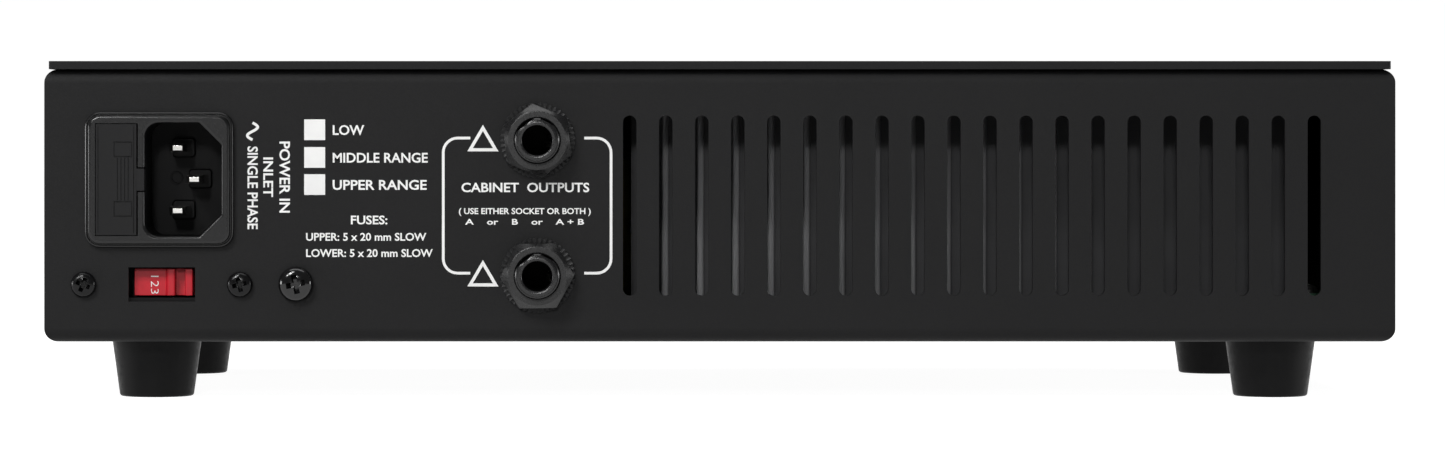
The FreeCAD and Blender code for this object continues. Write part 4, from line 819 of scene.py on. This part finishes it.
def print_rear():
    """White screen print on the rear panel, with plain generic words."""
    bm = bmesh.new()
    ink = (0.0, INK)
    # Two brackets with rounded corners stand round the sockets.
    left, right, low, high, bend, line = 88.6, 125.85, 15.3, 45.3, 3.2, 0.6
    left_end, right_end = 94.6, 119.9
    stroke(bm, [(left_end, high)] + arc(left + bend, high - bend, bend, 90, 180)
           + arc(left + bend, low + bend, bend, 180, 270) + [(left_end, low)], line, *ink)
    stroke(bm, [(right_end, high)] + arc(right - bend, high - bend, bend, 90, 0)
           + arc(right - bend, low + bend, bend, 0, -90) + [(right_end, low)], line, *ink)
    for base in (12.3, 42.3):
        stroke(bm, [(94.55, base + 0.4), (100.25, base + 0.4), (97.4, base + 5.25)], 0.7, *ink,
               closed=True)
    # Boxes to tick for the voltage range, then the lines of small print.
    for y, words, width in ((47.15, "LOW", 7.0), (41.0, "MIDDLE RANGE", 21.1),
                            (34.97, "UPPER RANGE", 20.9)):
        prism(bm, rectangle(60.05, y, 4.65, 4.6), *ink)
        write(bm, words, 63.9, y - 1.1, 2.2, width=width)
    for words, x, y, cap, width in (
            ("FUSES:", 72.1, 26.2, 1.95, 8.1),
            ("UPPER: 5 x 20 mm SLOW", 71.4, 22.55, 1.75, 26.7),
            ("LOWER: 5 x 20 mm SLOW", 72.1, 18.95, 1.75, 28.1),
            ("CABINET  OUTPUTS", 106.8, 33.35, 2.1, 28.4),
            ("( USE EITHER SOCKET OR BOTH )", 106.7, 28.45, 1.35, 29.3),
            ("A    or    B    or    A + B", 106.7, 26.1, 1.3, 26.4)):
        write(bm, words, x, y, cap, "CENTER", width=width)
    for words, x, y, cap, width in (
            ("POWER IN", 52.3, 44.7, 2.35, 15.8), ("INLET", 48.7, 41.2, 2.2, 8.8),
            ("SINGLE PHASE", 45.2, 43.5, 2.3, 18.4)):
        write(bm, words, x, y, cap, turn=-90, width=width)
    # The sign for alternating current, one wave down the panel.
    steps, swing, length = 24, 1.15, 3.8
    wave = [(46.25 + swing * math.sin(math.tau * step / steps), 48.7 - length * step / steps)
            for step in range(steps + 1)]
    stroke(bm, wave, line, *ink)
    make_piece("rear_print", [(bm, on_rear(0, 0))], "chassis", WHITE_PRINT)


print_rear()


# --- front panel --------------------------------------------------------------------------------

def fluted(bm, stages, flutes=20, per_flute=8):
    """A turned form whose (radius, height, flute depth) rings are grooved lengthwise."""
    rings = []
    for radius, height, depth in stages:
        if radius < 1e-6:
            rings.append([bm.verts.new((0, 0, height))])
            continue
        ring = []
        for step in range(flutes * per_flute):
            turn = math.tau * step / (flutes * per_flute)
            reach = radius - depth * (0.5 + 0.5 * math.cos(flutes * turn)) ** 0.7
            ring.append(bm.verts.new((reach * math.cos(turn), reach * math.sin(turn), height)))
        rings.append(ring)
    join_rings(bm, rings)


def make_knobs():
    """A fluted knob with a skirt and a white pointer on each control."""
    stages = [(0, 13.8, 0), (3.02, 13.8, 0), (3.02, 6.3, 0), (7.4, 6.3, 0), (7.4, 0.8, 0),
              (10.7, 0.8, 0), (11, 1.1, 0), (11, 2.3, 0), (10.75, 2.9, 0), (9.6, 3.5, 0),
              (8.9, 4.0, 0.0), (8.7, 4.6, 0.25), (8.6, 5.4, 0.5), (8.0, 15.6, 0.5),
              (7.85, 16.3, 0.4), (7.5, 16.8, 0.2), (7.0, 17.0, 0), (6.3, 17.0, 0), (6.1, 16.7, 0),
              (0, 16.7, 0)]
    for name in CONTROLS:
        centre = middle("knob_" + name)
        place = front_view(centre.x, FASCIA_FACE, centre.z)
        body = name + "_control"
        make_piece("knob_fluted_" + name, [(shape(fluted, stages), place)], body, KNOB_PLASTIC,
                   ["knob_" + name], angle=40)
        pointer = bmesh.new()
        prism(pointer, rounded(rectangle(0, 4.55, 1.1, 6.1), 0.3, 3), 16.6, 17.06)
        loft(pointer, [(rectangle(0, 9.75, 1.1, 2.0), 3.0), (rectangle(0, 9.75, 1.0, 1.9), 3.62)])
        make_piece("pointer_" + name, [(pointer, place)], body, WHITE_PRINT)


def make_toggle():
    """The power switch: its case, threaded bushing, nut and bat lever."""
    low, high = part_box("switch_housing")
    centre = (low + high) / 2
    place = front_view(centre.x, FASCIA_FACE, centre.z)
    reach = (FASCIA_FACE - low.y) / MM
    back = FRONT_WALL
    box = shape(loft, [(rounded(rectangle(0, 0, 14.4, 23.4), 0.8), -back - 20),
                       (rounded(rectangle(0, 0, 15, 24), 1), -back - 19.4),
                       (rounded(rectangle(0, 0, 15, 24), 1), -back)])
    bore = shape(lathe, [(0, -back - 9), (4.3, -back - 9), (4.3, 1), (0, 1)])
    make_piece("switch_case", [(box, place)], "chassis", SELECTOR_BLACK,
               ["switch_housing"], holes=[(bore, place)])
    sleeve = [(4.3, -back), (4.3, reach - 0.4), (4.7, reach), (5.2, reach), (5.5, reach - 0.3)]
    sleeve += thread(reach - 0.5, -back, 5.8, 5.45, FINE_PITCH) + [(5.45, -back)]
    make_piece("switch_bushing", [(shape(lathe, sleeve, closed=True), place)], "chassis", NICKEL,
               angle=40)
    turn = Matrix.Rotation(math.radians(11), 4, "Z")
    make_piece("switch_nut_dressed", [(shape(hex_nut, 15, 2.2, 5.85, 7.0), place @ turn)],
               "chassis", NICKEL, ["switch_nut"], edge=0.1, angle=25)
    joint = next(item for item in frame["joints"] if item["child"] == "power_lever")
    pivot = Vector(joint["pos_m"])
    lean = Matrix.Rotation(math.radians(12), 4, "X")
    lever = [(0, -4), (1.3, -4), (1.5, -3.8), (1.5, -2.6), (2.5, -1.6), (2.9, -0.8), (3, 0),
             (2.9, 0.8), (2.5, 1.6), (1.6, 2.5), (1.45, 4), (1.5, 6.5), (1.75, 9), (2.15, 11.5),
             (2.45, 13.2), (2.45, 14.2), (2.2, 14.95), (1.6, 15.35), (0.8, 15.48), (0, 15.5)]
    pin = shape(lathe, [(0, -4.1), (0.6, -4.1), (0.7, -4), (0.7, 4), (0.6, 4.1), (0, 4.1)], 24)
    bmesh.ops.rotate(pin, verts=pin.verts, matrix=Matrix.Rotation(math.pi / 2, 3, "Y"))
    stand = front_view(*pivot)
    make_piece("toggle_bat", [(shape(lathe, lever, 48), stand @ lean), (pin, stand)],
               "power_lever", NICKEL, ["switch_lever"], angle=50)


def make_lamp():
    """The pilot lamp: a threaded rim and a faceted jewel."""
    centre = middle("pilot_bezel")
    place = front_view(centre.x, FASCIA_FACE, centre.z)
    rim = [(3.9, -16), (4.5, -16), (4.8, -15.7)]
    rim += thread(-15.5, -FRONT_WALL, 4.8, 4.5, FINE_PITCH)
    rim += [(4.8, -3.3), (4.8, 0), (6.4, 0), (6.5, 0.15), (6.45, 0.9), (6.1, 1.7), (5.5, 2.15),
            (4.7, 2.2), (4.2, 1.9), (3.9, 1.3)]
    make_piece("lamp_rim", [(shape(lathe, rim, closed=True), place)], "chassis", NICKEL,
               ["pilot_bezel"], angle=45)
    jewel = bmesh.new()
    rings = [[jewel.verts.new((0, 0, -3.8))]]
    for radius, level, offset in ((3.8, -3.8, 0), (3.8, 1.8, 0), (3.55, 2.5, 0.5), (2.7, 3.5, 0),
                                  (1.4, 4.1, 0.5)):
        turns = [math.tau * (step + offset) / 12 for step in range(12)]
        rings.append([jewel.verts.new((radius * math.cos(turn), radius * math.sin(turn), level))
                      for turn in turns])
    rings.append([jewel.verts.new((0, 0, 4.2))])
    join_rings(jewel, rings)
    bmesh.ops.triangulate(jewel, faces=jewel.faces)
    make_piece("lamp_cut_jewel", [(jewel, place)], "chassis", LAMP_JEWEL,
               ["pilot_lens"], angle=10)


def print_front():
    """Dial marks and plain function words on the fascia."""
    bm = bmesh.new()
    ink = (0.0, INK)
    row = middle("knob_" + CONTROLS[0]).z
    name_line, mark_radius = -20.2, 11.7
    for name in CONTROLS:
        x = middle("knob_" + name).x / MM
        for step in range(11):
            turn = math.radians(240 - 30 * step)
            way = Vector((math.cos(turn), math.sin(turn)))
            start = Vector((x, 0)) + way * mark_radius
            stroke(bm, [tuple(start), tuple(start + way * (1.3 if step % 5 else 1.9))],
                   0.35 if step % 5 else 0.5, *ink)
        for words, across, up in (("0", -7.6, -13.4), ("5", 0, 14.4), ("10", 7.9, -13.4)):
            write(bm, words, x + across, up - 0.3, 1.9, "CENTER")
        write(bm, name.upper(), x, name_line, 2.4, "CENTER")
    for node, words in (("input_jack", "INPUT"), ("switch_housing", "POWER")):
        write(bm, words, middle(node).x / MM, name_line, 2.4, "CENTER")
    switch_x = middle("switch_housing").x / MM
    write(bm, "ON", switch_x, 11.6, 1.9, "CENTER")
    write(bm, "OFF", switch_x, -13.6, 1.9, "CENTER")
    first, last = (middle("knob_" + name).x / MM for name in (CONTROLS[0], CONTROLS[-1]))
    overhang, rule = 16, -15.4
    stroke(bm, [(first - overhang, rule), (last + overhang, rule)], 0.35, *ink)
    make_piece("front_print", [(bm, front_view(0, FASCIA_FACE, row))], "chassis", WHITE_PRINT)


make_knobs()
make_toggle()
make_lamp()
print_front()


# --- stage, light and camera -------------------------------------------------------------------

def make_stage():
    """A plain white floor that bends up into a wall far behind."""
    material, shader = new_material("pale_floor")
    shader.inputs["Base Color"].default_value = (0.3, 0.3, 0.3, 1)
    shader.inputs["Roughness"].default_value = 0.9
    shader.inputs["Specular IOR Level"].default_value = 0.0
    shader.inputs["Emission Color"].default_value = (1, 1, 1, 1)
    shader.inputs["Emission Strength"].default_value = 0.96
    bm = bmesh.new()
    side, back, height, bend, steps = 14.0, 12.0, 9.0, 3.0, 12
    profile = [(back, 0.0), (-back + bend, 0.0)]
    profile += [(-back + bend - bend * math.sin(a), bend - bend * math.cos(a))
                for a in (math.pi / 2 * step / steps for step in range(1, steps + 1))]
    profile.append((-back, height))
    rows = [[bm.verts.new((x, y, z)) for y, z in profile] for x in (-side, side)]
    for index in range(len(profile) - 1):
        bm.faces.new((rows[0][index], rows[0][index + 1], rows[1][index + 1], rows[1][index]))
    mesh = bpy.data.meshes.new("floor")
    bm.to_mesh(mesh)
    bm.free()
    floor = bpy.data.objects.new("floor", mesh)
    bpy.context.scene.collection.objects.link(floor)
    floor.data.materials.append(material)
    for polygon in mesh.polygons:
        polygon.use_smooth = True
    # The floor stays plain white to the camera and throws no glare up onto the feet.
    floor.visible_diffuse = False


def area_light(name, place, target, size, power):
    light = bpy.data.lights.new(name, "AREA")
    light.shape = "RECTANGLE"
    light.size, light.size_y = size
    light.energy = power
    obj = bpy.data.objects.new(name, light)
    bpy.context.scene.collection.objects.link(obj)
    obj.location = place
    obj.rotation_euler = (Vector(target) - Vector(place)).to_track_quat("-Z", "Y").to_euler()


def make_light():
    """A dim even room, four small key lights on the picture's left, and softer ones round them."""
    world = bpy.data.worlds.new("soft room")
    world.use_nodes = True
    world.node_tree.nodes["Background"].inputs["Color"].default_value = (1, 1, 1, 1)
    world.node_tree.nodes["Background"].inputs["Strength"].default_value = 0.16
    bpy.context.scene.world = world
    for index, (x, z) in enumerate(((0.75, 1.15), (0.45, 1.3), (0.95, 0.85), (0.6, 0.9))):
        area_light("key_" + str(index), (x, 1.2, z), (0, 0.05, 0.04),
                   size=(0.2, 0.2), power=5.2)
    area_light("top", (0.0, 0.1, 1.5), (0, 0, 0), size=(1.6, 0.9), power=12)
    area_light("front", (0.33, 4.1, 1.25), (-0.05, 0.05, 0.04), size=(0.3, 0.35), power=40)
    for side in (-1, 1):
        area_light("side" + str(side), (side * 1.3, 0.25, 0.12), (0, 0.02, 0.03),
                   size=(0.5, 0.25), power=4)
    bpy.context.scene.view_settings.view_transform = "Standard"


def make_camera():
    """Looks straight at the rear panel from a little above its middle."""
    data = bpy.data.cameras.new("camera")
    camera = bpy.data.objects.new("camera", data)
    bpy.context.scene.collection.objects.link(camera)
    across, distance, height = 0.0294, 1.13, 0.0623
    camera.location = (across, REAR_FACE + distance, height)
    camera.rotation_euler = (math.radians(90), 0, math.radians(180))
    data.lens = 126.8
    data.shift_x, data.shift_y = 0.0935, -0.0754
    bpy.context.scene.camera = camera


make_stage()
make_light()
make_camera()
